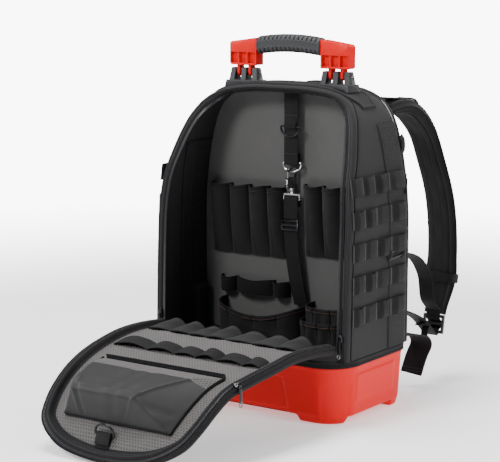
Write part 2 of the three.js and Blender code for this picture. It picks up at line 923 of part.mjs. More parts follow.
// A D ring of round wire: a straight bar and an arc, in the plane of two directions
function dRing(centre, along, down, width, height, wire) {
  const places = [];
  const steps = 10;
  for (let i = 0; i <= steps; i += 1) {
    const angle = Math.PI * i / steps;
    places.push([Math.cos(angle) * width / 2, Math.sin(angle) * height]);
  }
  const normal = along.clone().cross(down).normalize();
  const count = places.length;
  const rings = places.map(([u, v], i) => {
    const a = places[(i + count - 1) % count];
    const b = places[(i + 1) % count];
    const tangent = [b[0] - a[0], b[1] - a[1]];
    const size = Math.hypot(...tangent);
    const out = along.clone().multiplyScalar(tangent[1] / size).addScaledVector(down, -tangent[0] / size);
    const corner = i === 0 || i === count - 1 ? 1.3 : 1;
    const p = centre.clone().addScaledVector(along, u).addScaledVector(down, v);
    const ring = [];
    for (let k = 0; k < 6; k += 1) {
      const angle = 2 * Math.PI * k / 6;
      ring.push(p.clone()
        .addScaledVector(out, corner * wire * Math.cos(angle))
        .addScaledVector(normal, wire * Math.sin(angle)));
    }
    return ring;
  });
  return loft(rings, true);
}

function makeFlapRing() {
  const s = tabAlong * flapLength;
  const high = tabSeat + foldRadius(ringWire);
  const p = flapPoint(s, tabAcross, high);
  const up = flapPoint(s, tabAcross, high + 10).sub(p).normalize();
  const back = flapPoint(s - 10, tabAcross, high).sub(p).normalize();
  const down = back.multiplyScalar(0.6).add(up.multiplyScalar(0.8)).normalize();
  return dRing(p, vec(1, 0, 0), down, tabWidth + 8, ringHeight, ringWire);
}

function makeHingeStrip() {
  const edge = bodyFront - hingeSetback;
  const low = vec(0, edge - webbing, shellBottom);
  const high = flapPoint(3, 0, -gap);
  return ribbon([low, vec(0, edge - 2 * webbing, lerp(low.z, high.z, 0.6)), high], vec(1, 0, 0),
    2 * flapHalf - 2 * baseCorner, cloth);
}

// Zip slider with its long pull, hanging down
const pullLength = 27;
const pullWidth = 7;
const pullThickness = 1.5;
const sliderDepth = 6;
const sliderWidth = 8;
const sliderLength = 12;

function makePull(side) {
  const x = side * (bodyWidth / 2 - lipWidth);
  const z = hingeHeight + flapRim + pullWidth + gap;
  const y = mouthAt(z) - sliderDepth / 2 - gap;
  const front = y - sliderDepth / 2;
  const body = box(x - sliderWidth / 2, x + sliderWidth / 2, front, front + sliderDepth, z - sliderLength / 2,
    z + sliderLength / 2);
  const plate = box(x - pullWidth / 2, x + pullWidth / 2, front - pullThickness, front + 0.5, z - pullLength, z + 1);
  const eye = bar('y', vec(x, 0, z - pullLength), front - pullThickness, front + 0.3, pullWidth * 0.62);
  return join(body, plate, eye);
}

// A row of sleeves on the board: cloth that bulges forward between its seams, and closes downwards
function sleeves(seams, top, length, depth, closing, rows) {
  const stations = [];
  for (let k = 1; k < seams.length; k += 1) {
    [0, 0.1, 0.32, 0.68, 0.9].forEach((t) => {
      stations.push({ x: lerp(seams[k - 1], seams[k], t), rise: Math.sqrt(1 - (2 * t - 1) ** 2) });
    });
  }
  stations.push({ x: seams[seams.length - 1], rise: 0 });
  const seat = boardFront - gap;
  return sheetOf(rows, stations.length - 1, (r, c, row, column) => {
    const { x, rise } = stations[column];
    const taper = 1 - closing * r * r;
    const bulge = depth * rise * taper;
    const z = top - length * r;
    return [vec(x, seat - bulge - cloth, z), vec(x, seat - bulge, z)];
  });
}

const sleeveSeamsLeft = [-0.87, -0.66, -0.45, -0.25, -0.085].map((s) => s * bodyWidth / 2);
const sleeveSeamsRight = [0.135, 0.325, 0.53].map((s) => s * bodyWidth / 2);
const plierSeams = [-0.76, -0.6, -0.19, -0.03].map((s) => s * bodyWidth / 2);

// A deep pocket on the board and the floor, with an edge that dips in the middle
function pocket(x0, x1, top, dip, depth) {
  const across = [0, 0.04, 0.12, 0.3, 0.5, 0.7, 0.88, 0.96, 1];
  const out = [0, 0.6, 0.93, 1, 1, 1, 0.93, 0.6, 0];
  const seat = boardFront - gap;
  const low = floorTop + gap;
  return sheetOf(4, across.length - 1, (r, c, row, column) => {
    const x = lerp(x0, x1, across[column]);
    const sag = Math.sin(Math.PI * across[column]);
    const z = lerp(low, top - dip * sag, r);
    const y = seat - depth * out[column] * (0.9 + 0.1 * r);
    const inward = across[column] < 0.5 ? 1 : -1;
    const side = out[column] < 0.95 ? cloth * inward : 0;
    return [vec(x, y - cloth, z), vec(x + side, y, z)];
  });
}

const pocketLeft = { x0: -0.73, x1: 0.155, dip: 18 };
const pocketRight = { x0: 0.19, x1: 0.65, dip: 3 };

// Holder on the left inner wall: a padded strip with a pocket for a long level at its foot
const holderTop = 385;
const holderFront = -22;
const holderDepth = 60;
const holderPocket = 70;

function makeHolder() {
  const line = archOutline(floorTop + gap, -wall - 2 * gap).slice(0, outlineSteps + 2);
  const heights = [floorTop + gap, shellBottom, floorTop + holderPocket * 0.6, floorTop + holderPocket];
  line.filter((p) => p.z > floorTop + holderPocket + 8 && p.z < holderTop - 8).forEach((p) => heights.push(p.z));
  heights.push(holderTop);
  const across = [0, 0.35, 0.42, 0.55, 0.75, 0.93, 1];
  const bulge = [0, 0, 0.4, 1, 1, 0.6, 0];
  const xAt = (z, inset) => -lookUp(line.map((p) => ({ z: p.z, x: -p.x })), z, 'z', 'x') + inset;
  const grid = (inset, extra) => heights.map((z) => across.map((s, i) => {
    const deep = z <= floorTop + holderPocket ? 12 : 0;
    return vec(xAt(z, inset + extra * (bulge[i] * deep)), holderFront + s * holderDepth, z);
  }));
  return sheet(grid(cloth, 1), grid(0, 1));
}

// Webbing that hangs in the middle of the compartment, folded round the bar of its ring
const hookDepth = 11;
const strapY = boardFront - hookDepth;

// Distance from a bar's middle to the middle of webbing folded round it in a few flat steps
function foldRadius(barRadius) {
  return (barRadius + gap + webbing / 2) * 1.08;
}

function hangingPath(top, barZ, wire) {
  const out = foldRadius(wire);
  const places = [vec(strapX, strapY - out, top), vec(strapX, strapY - out, barZ)];
  for (let i = 1; i < 6; i += 1) {
    const angle = Math.PI * i / 6;
    places.push(vec(strapX, strapY - out * Math.cos(angle), barZ - out * Math.sin(angle)));
  }
  places.push(vec(strapX, strapY + out, barZ), vec(strapX, strapY + out, barZ + 14));
  return places;
}

function makeHangingStrap() {
  const top = bodyTop - wall - 3 * gap;
  return ribbon(hangingPath(top, lowerRingHeight, ringWire), vec(1, 0, 0), strapWidth, webbing);
}

function makeUpperRing() {
  const front = strapY - foldRadius(ringWire) - webbing / 2 - gap - ringWire;
  return dRing(vec(strapX, front, upperRingHeight), vec(1, 0, 0), vec(0, 0, -1), strapWidth + 8, ringHeight,
    ringWire);
}

function makeLowerRing() {
  return dRing(vec(strapX, strapY, lowerRingHeight), vec(1, 0, 0), vec(0, 0, -1), strapWidth + 7, ringHeight - 2,
    ringWire);
}

// Snap hook: a hook ring with a gap that the spring bolt closes, a body, a swivel neck and an eye
const ringLow = lowerRingHeight - (ringHeight - 2);
const hookZ = ringLow - ringWire - gap - hookEye + 2 * ringWire + 2 * gap + 1.2;
const hookGapAngle = 0.9;
const boltX = -(hookRadius + hookEye) / 2;
const hookBodyTop = hookZ - hookEye - 1;
const hookBodyHeight = 16;
const knobTop = hookBodyTop - knobHeight;
const neckHeight = 7;
const eyeHeight = 11;
const eyeWidth = 30;
const eyeBar = 1.6;
const eyeBarZ = hookBodyTop - hookBodyHeight - neckHeight - eyeHeight + 1.5;
const hookTurn = Math.PI / 3;

function turned(geometry) {
  geometry.rotateZ(hookTurn);
  geometry.translate(strapX, strapY, 0);
  return geometry;
}

function makeHook() {
  const shape = new THREE.Shape();
  shape.absarc(0, 0, hookRadius, 0, 2 * Math.PI, false);
  const hole = new THREE.Path();
  hole.absarc(0, 0, hookEye, 0, 2 * Math.PI, true);
  shape.holes.push(hole);
  const ring = new THREE.ExtrudeGeometry(shape, { depth: hookThickness, bevelEnabled: false, curveSegments: 10 });
  ring.translate(0, 0, -hookThickness / 2);
  ring.rotateX(Math.PI / 2);
  ring.translate(0, 0, hookZ);
  const mouth = box(-hookRadius - 2, -hookEye * 0.4, -hookThickness, hookThickness, hookZ - hookEye * 0.95,
    hookZ + hookEye * hookGapAngle * 0.5);
  const low = hookBodyTop - hookBodyHeight;
  const cheek = hookThickness / 2 + hookCheek;
  const body = box(boltX - 1.6 * boltRadius, hookRadius - 3, -cheek, cheek, low, hookBodyTop);
  const spine = box(2, hookRadius - 1, -hookThickness / 2, hookThickness / 2, hookBodyTop - 1, hookZ);
  const bore = bar('z', vec(boltX, 0, 0), low - 1, hookZ, boltRadius + gap);
  const slot = box(boltX - knobReach, boltX, -knobHalf - gap, knobHalf + gap,
    knobTop - knobHeight - boltStroke - 2 * gap, knobTop + gap);
  const neck = bar('z', vec(0, 0, 0), low - neckHeight, low + 1, neckRadius);
  const flange = bar('z', vec(0, 0, 0), low - neckHeight - 1, low - neckHeight + 2, flangeRadius);
  return turned(join(cut(join(cut(ring, mouth), body, spine), bore, slot), neck, flange));
}

function makeEye() {
  const top = hookBodyTop - hookBodyHeight - neckHeight - 1 - gap;
  const outer = box(-eyeWidth / 2, eyeWidth / 2, -eyeBar, eyeBar, eyeBarZ - eyeBar, top);
  const side = eyeWidth / 2 - 1.4 * eyeBar;
  const inner = box(-side, side, -2 * eyeBar, 2 * eyeBar, eyeBarZ + eyeBar, top - 1.6 * eyeBar);
  const eye = cut(outer, inner);
  eye.translate(strapX, strapY, 0);
  return eye;
}

function makeBolt() {
  const low = hookBodyTop - hookBodyHeight;
  const top = hookZ + hookEye * hookGapAngle * 0.5 - gap;
  const rod = bar('z', vec(boltX, 0, 0), low + 2, top, boltRadius, 10);
  const knob = box(boltX - knobReach, boltX, -knobHalf, knobHalf, knobTop - knobHeight, knobTop);
  return turned(join(rod, knob));
}

function makeLowerStrap() {
  const out = foldRadius(eyeBar * Math.SQRT2);
  const places = [vec(strapX, strapY + out, eyeBarZ - 12), vec(strapX, strapY + out, eyeBarZ)];
  for (let i = 1; i < 6; i += 1) {
    const angle = Math.PI * i / 6;
    places.push(vec(strapX, strapY + out * Math.cos(angle), eyeBarZ + out * Math.sin(angle)));
  }
  places.push(vec(strapX, strapY - out, eyeBarZ));
  places.push(vec(strapX, strapY - out, adjusterHeight));
  places.push(vec(strapX + 7, strapY - out, (adjusterHeight + strapEndHeight) / 2));
  places.push(vec(strapX + 15, strapY + out, strapEndHeight));
  return ribbon(places, vec(1, 0, 0), strapWidth, webbing);
}

function makeAdjuster() {
  const half = strapWidth / 2 + adjusterWire;
  const y = strapY - foldRadius(eyeBar * Math.SQRT2) - webbing / 2 - gap;
  const frame = box(-half, half, y - adjusterWire, y, adjusterHeight - adjusterSize / 2,
    adjusterHeight + adjusterSize / 2);
  const near = adjusterWire / 2;
  const far = adjusterSize / 2 - adjusterWire;
  const slot = (s) => box(-half + adjusterWire, half - adjusterWire, y - 2 * adjusterWire, y + 1,
    adjusterHeight + s * near, adjusterHeight + s * far);
  const geometry = cut(frame, slot(-1), slot(1));
  geometry.translate(strapX, 0, 0);
  return geometry;
}

// Shoulder strap: its middle line as shares of the sizes above
const padLine = [
  { x: 0.5, back: 0.05, up: 0.9 },
  { x: 0.62, back: 0.22, up: 0.985 },
  { x: 0.8, back: 0.47, up: 1 },
  { x: 0.91, back: 0.66, up: 0.91 },
  { x: 0.975, back: 0.8, up: 0.74 },
  { x: 1, back: 0.92, up: 0.58 },
  { x: 1, back: 0.99, up: 0.42 },
  { x: 1, back: 1, up: 0.25 },
  { x: 0.99, back: 0.96, up: 0.1 },
  { x: 0.98, back: 0.91, up: 0 },
];
const backFace = bodyRear + gap + backPadding;

function padPlace(side, row) {
  return vec(side * padX * row.x, backFace + gap + padReach * row.back, lerp(padBottom, padTop, row.up));
}

function makePad(side) {
  const points = curveThrough(padLine.map((row) => padPlace(side, row)), 20);
  const width = (t) => padWidth * (t < 0.1 ? 0.8 : 1) * (t > 0.85 ? 1 - (t - 0.85) * 3 : 1);
  const thickness = (t) => padThickness * (t < 0.06 ? 0.5 : 1) * (t > 0.93 ? 0.6 : 1);
  const across = (t) => vec(side, -0.3 * clamp01(t / 0.3) * clamp01((1 - t) / 0.2), 0);
  return ribbon(points, across, width, thickness);
}

const lifterHeight = 449;

function makeLifter(side) {
  const x = padX * 0.66;
  const places = [
    vec(side * x, backFace + gap + webbing, lifterHeight - 16),
    vec(side * x, backFace + gap + 2 * webbing, lifterHeight - 6),
    vec(side * x * 1.02, backFace + padReach * 0.12, lifterHeight + 3),
    vec(side * x * 1.12, backFace + padReach * 0.34, lifterHeight + 2),
    vec(side * x * 1.18, backFace + padReach * 0.5, lifterHeight - 3),
  ];
  return ribbon(curveThrough(places, 8), vec(1, 0, 0), strapWidth, 2 * webbing);
}

// Ladder lock below the pad: three bars and two slots in a frame
const lockX = padX * 0.98;
const lockPlace = vec(lockX, backFace + padReach * 0.885, padBottom - lockLength / 2 - 3 * gap);
const lockTilt = 0.16;

function makeLock(side) {
  const half = lockLength / 2;
  const frame = box(-lockWidth / 2, lockWidth / 2, -lockThickness / 2, lockThickness / 2, -half, half);
  const slot = (half - 1.5 * lockBar);
  const open = (s) => box(-lockWidth / 2 + 4, lockWidth / 2 - 4, -lockThickness, lockThickness,
    s > 0 ? lockBar / 2 : -lockBar / 2 - slot, s > 0 ? lockBar / 2 + slot : -lockBar / 2);
  const geometry = cut(frame, open(1), open(-1));
  geometry.rotateX(-lockTilt);
  geometry.translate(side * lockPlace.x, lockPlace.y, lockPlace.z);
  return geometry;
}

// The stretch of a strap that is sewn flat to the back panel, from a height to the strap's root
const sewnLength = 14;

function sewnEnd(x, height, thickness) {
  return vec(x, backFace + gap + thickness / 2, height);
}

// Webbing of the shoulder strap: from the body through the ladder lock and back to the body
function makeTail(side) {
  const across = (u, v) => {
    const y = lockPlace.y + v * Math.cos(lockTilt) + u * Math.sin(lockTilt);
    const z = lockPlace.z + u * Math.cos(lockTilt) - v * Math.sin(lockTilt);
    return vec(side * lockX, y, z);
  };
  const half = lockLength / 2;
  const clear = lockThickness / 2 + webbing / 2 + 3 * gap;
  const upper = curveThrough([
    sewnEnd(side * lockX, tailUpper, webbing),
    vec(side * lockX, backFace + padReach * 0.3, tailUpper - webbingDrop * 0.04),
    vec(side * lockX, backFace + padReach * 0.55, tailUpper - webbingDrop * 0.24),
    vec(side * lockX, backFace + padReach * 0.7, tailUpper - webbingDrop * 0.58),
    vec(side * lockX, backFace + padReach * 0.76, tailUpper - webbingDrop),
    across(half + 8, -clear - 1),
  ], 12);
  const weave = [
    across(half - 1, -clear),
    across(half - lockBar - gap, -clear),
    across(lockBar / 2 + 2 * gap, clear),
    across(-lockBar / 2 - 2 * gap, clear),
    across(-half + lockBar + gap, -clear),
    across(-half + 1, -clear),
  ];
  const lower = curveThrough([
    across(-half - 2, -clear - 2),
    vec(side * lockX, backFace + padReach * 0.6, lerp(lockPlace.z, tailLower, 0.3)),
    vec(side * lockX, backFace + padReach * 0.3, lerp(lockPlace.z, tailLower, 0.72)),
    sewnEnd(side * lockX, tailLower, webbing),
  ], 8);
  const first = sewnEnd(side * lockX, tailUpper + sewnLength, webbing);
  const last = sewnEnd(side * lockX, tailLower + sewnLength, webbing);
  return ribbon([first, ...upper, ...weave, ...lower, last], vec(1, 0, 0), strapWidth, webbing);
}

function makeBelt(side) {
  const low = shellBottom + 8;
  const places = [
    sewnEnd(side * padX * 1.06, low, beltThickness),
    vec(side * padX * 1.06, backFace + beltReach * 0.5, low - 12),
    vec(side * padX * 1.06, backFace + beltReach * 0.88, low - 22),
    vec(side * padX * 1.05, backFace + beltReach, low - beltFall),
    vec(side * padX * 1.02, backFace + beltReach * 0.92, lerp(low, beltEnd, 0.68)),
    vec(side * padX, backFace + beltReach * 0.8, beltEnd),
  ];
  const first = sewnEnd(side * padX * 1.06, low + sewnLength, beltThickness);
  return ribbon([first, ...curveThrough(places, 14)], vec(1, 0, 0), beltWidth, beltThickness);
}

add('base_tray', makeBaseTray(), look.redMoulding);
add('hem_band', makeHem(), look.bodyCloth);
add('body_shell', makeShell(), look.bodyCloth);
add('mouth_zip_tape', makeMouthTape(), look.webbingCloth);
add('divider_board', makeBoard(), look.liningCloth);
add('back_panel', makeBackPanel(), look.liningCloth);
add('handle_plate', makeHandlePlate(), look.darkMoulding);
add('handle_grip', makeGrip(), look.darkMoulding);

[{ side: -1, name: 'left' }, { side: 1, name: 'right' }].forEach(({ side, name }) => {
  add(`handle_bracket_${name}`, makeBracket(side), look.darkMoulding);
  add(`handle_pin_${name}`, makePin(side), look.brightMetal);
  add(`handle_end_${name}`, makeHandleEnd(side), look.redMoulding);
  add(`side_band_${name}`, makeSideBand(side), look.webbingCloth);
  for (let index = 0; index < 5; index += 1) {
    add(`side_webbing_${name}_${index + 1}`, makeRow(side, index), look.webbingCloth);
  }
  add(`shoulder_strap_${name}`, makePad(side), look.bodyCloth);
  add(`load_lifter_${name}`, makeLifter(side), look.webbingCloth);
  add(`ladder_lock_${name}`, makeLock(side), look.darkMoulding);
  add(`strap_webbing_${name}`, makeTail(side), look.webbingCloth);
  add(`hip_belt_${name}`, makeBelt(side), look.webbingCloth);
});

add('flap_panel', makeFlap(), look.bodyCloth);
add('flap_tool_loops', flapBand(toolLoopStart, toolLoopWidth, toolLoopSeams, loopHeight, 0.7), look.liningCloth);
add('flap_elastic', flapBand(flapLength * elasticPlace, elasticWidth, elasticSeams, loopHeight * 0.6, 0.2), look.webbingCloth);
add('flap_pocket', makeFlapPocket(), look.liningCloth);
add('flap_tab', makeFlapTab(), look.webbingCloth);
add('flap_ring', makeFlapRing(), look.zipMetal);
add('hinge_strip', makeHingeStrip(), look.bodyCloth);
add('zip_pull_left', makePull(-1), look.zipMetal);
add('zip_pull_right', makePull(1), look.zipMetal);

add('sleeves_left', sleeves(sleeveSeamsLeft, sleeveTop, sleeveLength, sleeveDepth, 0.85, 4), look.liningCloth);
add('sleeves_right', sleeves(sleeveSeamsRight, sleeveTop + rightSleeveRaise, sleeveLength, sleeveDepth, 0.85, 4), look.liningCloth);
add('plier_loops', sleeves(plierSeams, plierTop, plierLength, sleeveDepth - 2, 0.15, 1), look.webbingCloth);
add('pocket_left', pocket(
  pocketLeft.x0 * bodyWidth / 2,
  pocketLeft.x1 * bodyWidth / 2,
  pocketTop,
  pocketLeft.dip,
  pocketDepth,
), look.liningCloth);
add('pocket_right_upper', pocket(
  pocketRight.x0 * bodyWidth / 2 + pocketInset,
  pocketRight.x1 * bodyWidth / 2 - pocketInset,
  pocketTop + pocketStep,
  pocketRight.dip,
  pocketDepth - 1.5 * pocketInset,
), look.liningCloth);
add('pocket_right_lower', pocket(
  pocketRight.x0 * bodyWidth / 2,
  pocketRight.x1 * bodyWidth / 2,
  pocketTop - 1.5 * pocketStep,
  pocketRight.dip,
  pocketDepth + 1.5 * pocketInset,
), look.liningCloth);
add('side_holder', makeHolder(), look.liningCloth);
add('hanging_strap', makeHangingStrap(), look.webbingCloth);
add('strap_ring_lower', makeLowerRing(), look.brightMetal);
add('snap_hook', makeHook(), look.brightMetal);
add('snap_bolt', makeBolt(), look.brightMetal);
add('snap_eye', makeEye(), look.brightMetal);
add('lower_strap', makeLowerStrap(), look.webbingCloth);
add('slide_adjuster', makeAdjuster(), look.brightMetal);
add('strap_ring_upper', makeUpperRing(), look.zipMetal);

export default part;
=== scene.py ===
import bmesh
import bpy
import numpy as np
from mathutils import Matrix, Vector


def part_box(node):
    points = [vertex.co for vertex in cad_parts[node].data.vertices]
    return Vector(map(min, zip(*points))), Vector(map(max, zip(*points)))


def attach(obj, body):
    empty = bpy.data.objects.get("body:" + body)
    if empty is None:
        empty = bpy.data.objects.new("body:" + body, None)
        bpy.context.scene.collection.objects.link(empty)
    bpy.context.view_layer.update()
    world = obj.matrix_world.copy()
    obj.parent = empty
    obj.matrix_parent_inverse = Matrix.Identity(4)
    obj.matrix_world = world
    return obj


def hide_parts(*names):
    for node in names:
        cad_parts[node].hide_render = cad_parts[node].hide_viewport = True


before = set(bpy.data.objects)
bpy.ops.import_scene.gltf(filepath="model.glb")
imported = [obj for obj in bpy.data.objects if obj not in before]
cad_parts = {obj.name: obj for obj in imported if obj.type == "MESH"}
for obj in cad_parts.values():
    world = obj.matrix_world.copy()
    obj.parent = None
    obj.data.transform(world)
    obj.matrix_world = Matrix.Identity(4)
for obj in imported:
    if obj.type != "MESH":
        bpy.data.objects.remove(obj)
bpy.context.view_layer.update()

# Shapes are worked out in millimetres, in the frame's axes, and put into the meshes in metres.
mm = 0.001
tau = 2 * np.pi

# Camera, floor and light

cameraSettings = {
    "place": (1405.8, -2078.5, 669.7),
    "target": (-47.3, -6.7, 254.8),
    "lens": 122.28,
    "sensor": 36.0,
    "farthest": 50.0,
}

lightSettings = [
    {"name": "keyLight", "place": (1900, 60, 1050), "target": (100, 0, 200), "size": 800, "power": 26,
     "colour": (1.0, 0.985, 0.97)},
    {"name": "topLight", "place": (-350, -100, 2300), "target": (0, -200, 150), "size": 1100, "power": 62,
     "colour": (1.0, 1.0, 1.0)},
    {"name": "frontLight", "place": (-350, -2000, 1750), "target": (0, 0, 330), "size": 700, "power": 46,
     "colour": (1.0, 0.995, 0.985)},
    {"name": "leftLight", "place": (-2300, -900, 1200), "target": (0, 0, 300), "size": 900, "power": 36,
     "colour": (0.97, 0.985, 1.0)},
    {"name": "rearLight", "place": (700, 2000, 1400), "target": (0, 100, 260), "size": 1200, "power": 26,
     "colour": (1.0, 1.0, 1.0)},
]


def lookAt(thing, place, target):
    # turned so that its own -Z points from its place to the target
    thing.location = Vector(place) * mm
    thing.rotation_euler = (Vector(target) - Vector(place)).to_track_quat("-Z", "Y").to_euler()


def makeCamera(settings):
    # a camera whose place, direction and lens were fitted to the photograph
    data = bpy.data.cameras.new("photoCamera")
    data.lens = settings["lens"]
    data.sensor_width = settings["sensor"]
    data.clip_end = settings["farthest"]
    camera = bpy.data.objects.new("photoCamera", data)
    bpy.context.scene.collection.objects.link(camera)
    lookAt(camera, settings["place"], settings["target"])
    bpy.context.scene.camera = camera


def makeLight(settings):
    # a round area light of a size in millimetres and a power in watts
    data = bpy.data.lights.new(settings["name"], "AREA")
    data.shape = "DISK"
    data.size = settings["size"] * mm
    data.energy = settings["power"]
    data.color = settings["colour"]
    light = bpy.data.objects.new(settings["name"], data)
    bpy.context.scene.collection.objects.link(light)
    lookAt(light, settings["place"], settings["target"])


makeCamera(cameraSettings)
for lamp in lightSettings:
    makeLight(lamp)


def makeWorld(settings):
    # the room is white to the eye, and lights the bag with less
    world = bpy.data.worlds.new("paleStudio")
    bpy.context.scene.world = world
    world.use_nodes = True
    tree = world.node_tree
    room = tree.nodes["Background"]
    seen = tree.nodes.new("ShaderNodeBackground")
    path = tree.nodes.new("ShaderNodeLightPath")
    choice = tree.nodes.new("ShaderNodeMixShader")
    for node, strength in ((room, settings["light"]), (seen, settings["seen"])):
        node.inputs["Color"].default_value = (1.0, 1.0, 1.0, 1.0)
        node.inputs["Strength"].default_value = strength
    tree.links.new(path.outputs["Is Camera Ray"], choice.inputs[0])
    tree.links.new(room.outputs[0], choice.inputs[1])
    tree.links.new(seen.outputs[0], choice.inputs[2])
    tree.links.new(choice.outputs[0], tree.nodes["World Output"].inputs["Surface"])


makeWorld({"light": 0.22, "seen": 9.0})
print("camera and light made")


# Shader maths: a socket that adds Math nodes when it is used in an expression

class Signal:
    # an output socket of one finish; its operators, set below, each make the Math node of the same name
    def __init__(self, finish, socket):
        self.finish = finish
        self.socket = socket

    def math(self, operation, first, second=0.0):
        made = self.finish.node("ShaderNodeMath", {"operation": operation}, {0: first, 1: second})
        return Signal(self.finish, made.outputs[0])

    def ramp(self, low, high):
        # 0 at low, 1 at high, smooth between
        settings = {"interpolation_type": "SMOOTHSTEP"}
        limits = {"Value": self, "From Min": low, "From Max": high}
        made = self.finish.node("ShaderNodeMapRange", settings, limits)
        return Signal(self.finish, made.outputs["Result"])


def mathMethod(operation, turned=False):
    # a method that makes one Math node; when turned, the other value comes first
    def method(self, other=0.0):
        return self.math(operation, *((other, self) if turned else (self, other)))
    return method


for name, operation in (("add", "ADD"), ("sub", "SUBTRACT"), ("mul", "MULTIPLY"), ("truediv", "DIVIDE")):
    setattr(Signal, f"__{name}__", mathMethod(operation))
    setattr(Signal, f"__r{name}__", mathMethod(operation, True))
for name, operation in (("__pow__", "POWER"), ("__abs__", "ABSOLUTE"), ("sine", "SINE"),
                        ("atMost", "MINIMUM"), ("above", "GREATER_THAN"), ("share", "FRACT")):
    setattr(Signal, name, mathMethod(operation))


class Finish:
    # a material with its Principled shader, and the one method that adds nodes to it
    def __init__(self, name, **constants):
        self.material = bpy.data.materials.new(name)
        self.material.use_nodes = True
        self.tree = self.material.node_tree
        self.shader = self.tree.nodes["Principled BSDF"]
        for socket, value in constants.items():
            self.shader.inputs[socket.replace("_", " ")].default_value = value

    def node(self, kind, settings=None, inputs=None):
        made = self.tree.nodes.new(kind)
        for key, value in (settings or {}).items():
            setattr(made, key, value)
        for key, value in (inputs or {}).items():
            if isinstance(value, Signal):
                self.tree.links.new(value.socket, made.inputs[key])
            elif isinstance(value, bpy.types.NodeSocket):
                self.tree.links.new(value, made.inputs[key])
            else:
                made.inputs[key].default_value = value
        return made

    def place(self):
        return self.node("ShaderNodeTexCoord").outputs["Object"]

    def cloth(self):
        # the piece's own map: metres along and across
        own = self.node("ShaderNodeUVMap", {"uv_map": "cloth"})
        parts = self.node("ShaderNodeSeparateXYZ", None, {0: own.outputs[0]})
        return Signal(self, parts.outputs[0]), Signal(self, parts.outputs[1])

    def noise(self, scale, detail=3.0, roughness=0.55):
        # from 0 to 1, with a number of cells in a metre
        made = self.node("ShaderNodeTexNoise", None, {
            "Vector": self.place(), "Scale": scale, "Detail": detail, "Roughness": roughness})
        return Signal(self, made.outputs["Fac"])

    def blend(self, amount, first, second):
        # the first colour at 0, the second at 1
        made = self.node("ShaderNodeMix", {"data_type": "RGBA"}, {"Factor": amount, 6: first, 7: second})
        return made.outputs[2]

    def drive(self, socket, value):
        # a signal or socket that sets one of the shader's inputs
        self.tree.links.new(value.socket if isinstance(value, Signal) else value, self.shader.inputs[socket])

    def relief(self, height, depth):
        # depth in metres for a height from 0 to 1
        made = self.node("ShaderNodeBump", None, {"Strength": 1.0, "Distance": depth, "Height": height})
        self.drive("Normal", made.outputs[0])


def rgb(colour, scale=1.0):
    # a colour made darker or paler by a factor, with full alpha
    return (colour[0] * scale, colour[1] * scale, colour[2] * scale, 1.0)


# Cloths: colour, thread pitch and depth in metres, and how unevenly they are worn
clothSettings = {
    "shellCloth": {"colour": (0.0150, 0.0150, 0.0163), "thread": 0.0011, "depth": 0.00016, "rough": 0.72,
                   "mottle": 0.24, "sheen": 0.05, "shine": 0.11},
    "liningCloth": {"colour": (0.012, 0.012, 0.013), "thread": 0.0009, "depth": 0.00012, "rough": 0.78,
                    "mottle": 0.3, "sheen": 0.05, "shine": 0.12},
    "boardCloth": {"colour": (0.088, 0.0865, 0.086), "thread": 0.0016, "depth": 0.00018, "rough": 0.93,
                   "mottle": 0.18, "sheen": 0.08, "shine": 0.16},
    "edgeCloth": {"colour": (0.0095, 0.0095, 0.0105), "thread": 0.0007, "depth": 0.0001, "rough": 0.7,
                  "mottle": 0.2, "sheen": 0.03, "shine": 0.08},
    "pocketCloth": {"colour": (0.0125, 0.0124, 0.0134), "thread": 0.0006, "depth": 0.00005, "rough": 0.5,
                    "mottle": 0.2, "sheen": 0.05, "shine": 0.24},
    "panelCloth": {"colour": (0.0120, 0.0120, 0.0130), "thread": 0.0013, "depth": 0.0002, "rough": 0.8,
                   "mottle": 0.26, "sheen": 0.05, "shine": 0.1},
}

# Webbing: width of a rib, distance of the selvage from the middle. Metres, as all finishes.
webbingSettings = {
    "webbing": {"colour": (0.0088, 0.0088, 0.0098), "pitch": 0.0021, "edge": 0.0125},
    "wideWebbing": {"colour": (0.0088, 0.0088, 0.0098), "pitch": 0.0021, "edge": 0.019},
    "bandWebbing": {"colour": (0.0135, 0.0135, 0.0148), "pitch": 0.0032, "edge": 0.025},
}
meshSettings = {
    "liningMesh": {"colour": (0.098, 0.093, 0.092), "pitch": 0.0042, "yarn": 0.0008, "depth": 0.0007},
    "backMesh": {"colour": (0.014, 0.014, 0.0152), "pitch": 0.0042, "yarn": 0.0008, "depth": 0.0007},
}
# Mouldings: specks to a metre, how deep they are, how pale the edges are rubbed, and the specular level
mouldingSettings = {
    "redMoulding": {"colour": (0.66, 0.002, 0.003), "rough": 0.46, "grain": 900.0, "depth": 0.00006,
                    "wear": 0.12, "shine": 0.16},
    "blackMoulding": {"colour": (0.022, 0.0225, 0.025), "rough": 0.48, "grain": 800.0, "depth": 0.00008,
                      "wear": 0.3, "shine": 0.4},
    "gripRubber": {"colour": (0.026, 0.0265, 0.029), "rough": 0.6, "grain": 1100.0, "depth": 0.00006,
                   "wear": 0.3, "shine": 0.4},
    "coil": {"colour": (0.024, 0.024, 0.027), "rough": 0.36, "grain": 900.0, "depth": 0.00003, "wear": 0.12,
             "shine": 0.45},
}
metalSettings = {
    "chrome": {"colour": (0.78, 0.78, 0.80), "rough": 0.16, "scratch": 0.12},
    "darkMetal": {"colour": (0.035, 0.035, 0.039), "rough": 0.3, "scratch": 0.16},
    "greyMetal": {"colour": (0.24, 0.24, 0.25), "rough": 0.34, "scratch": 0.16},
}
threadSettings = {
    "darkThread": {"colour": (0.030, 0.030, 0.033)},
    "brownThread": {"colour": (0.16, 0.075, 0.05)},
}


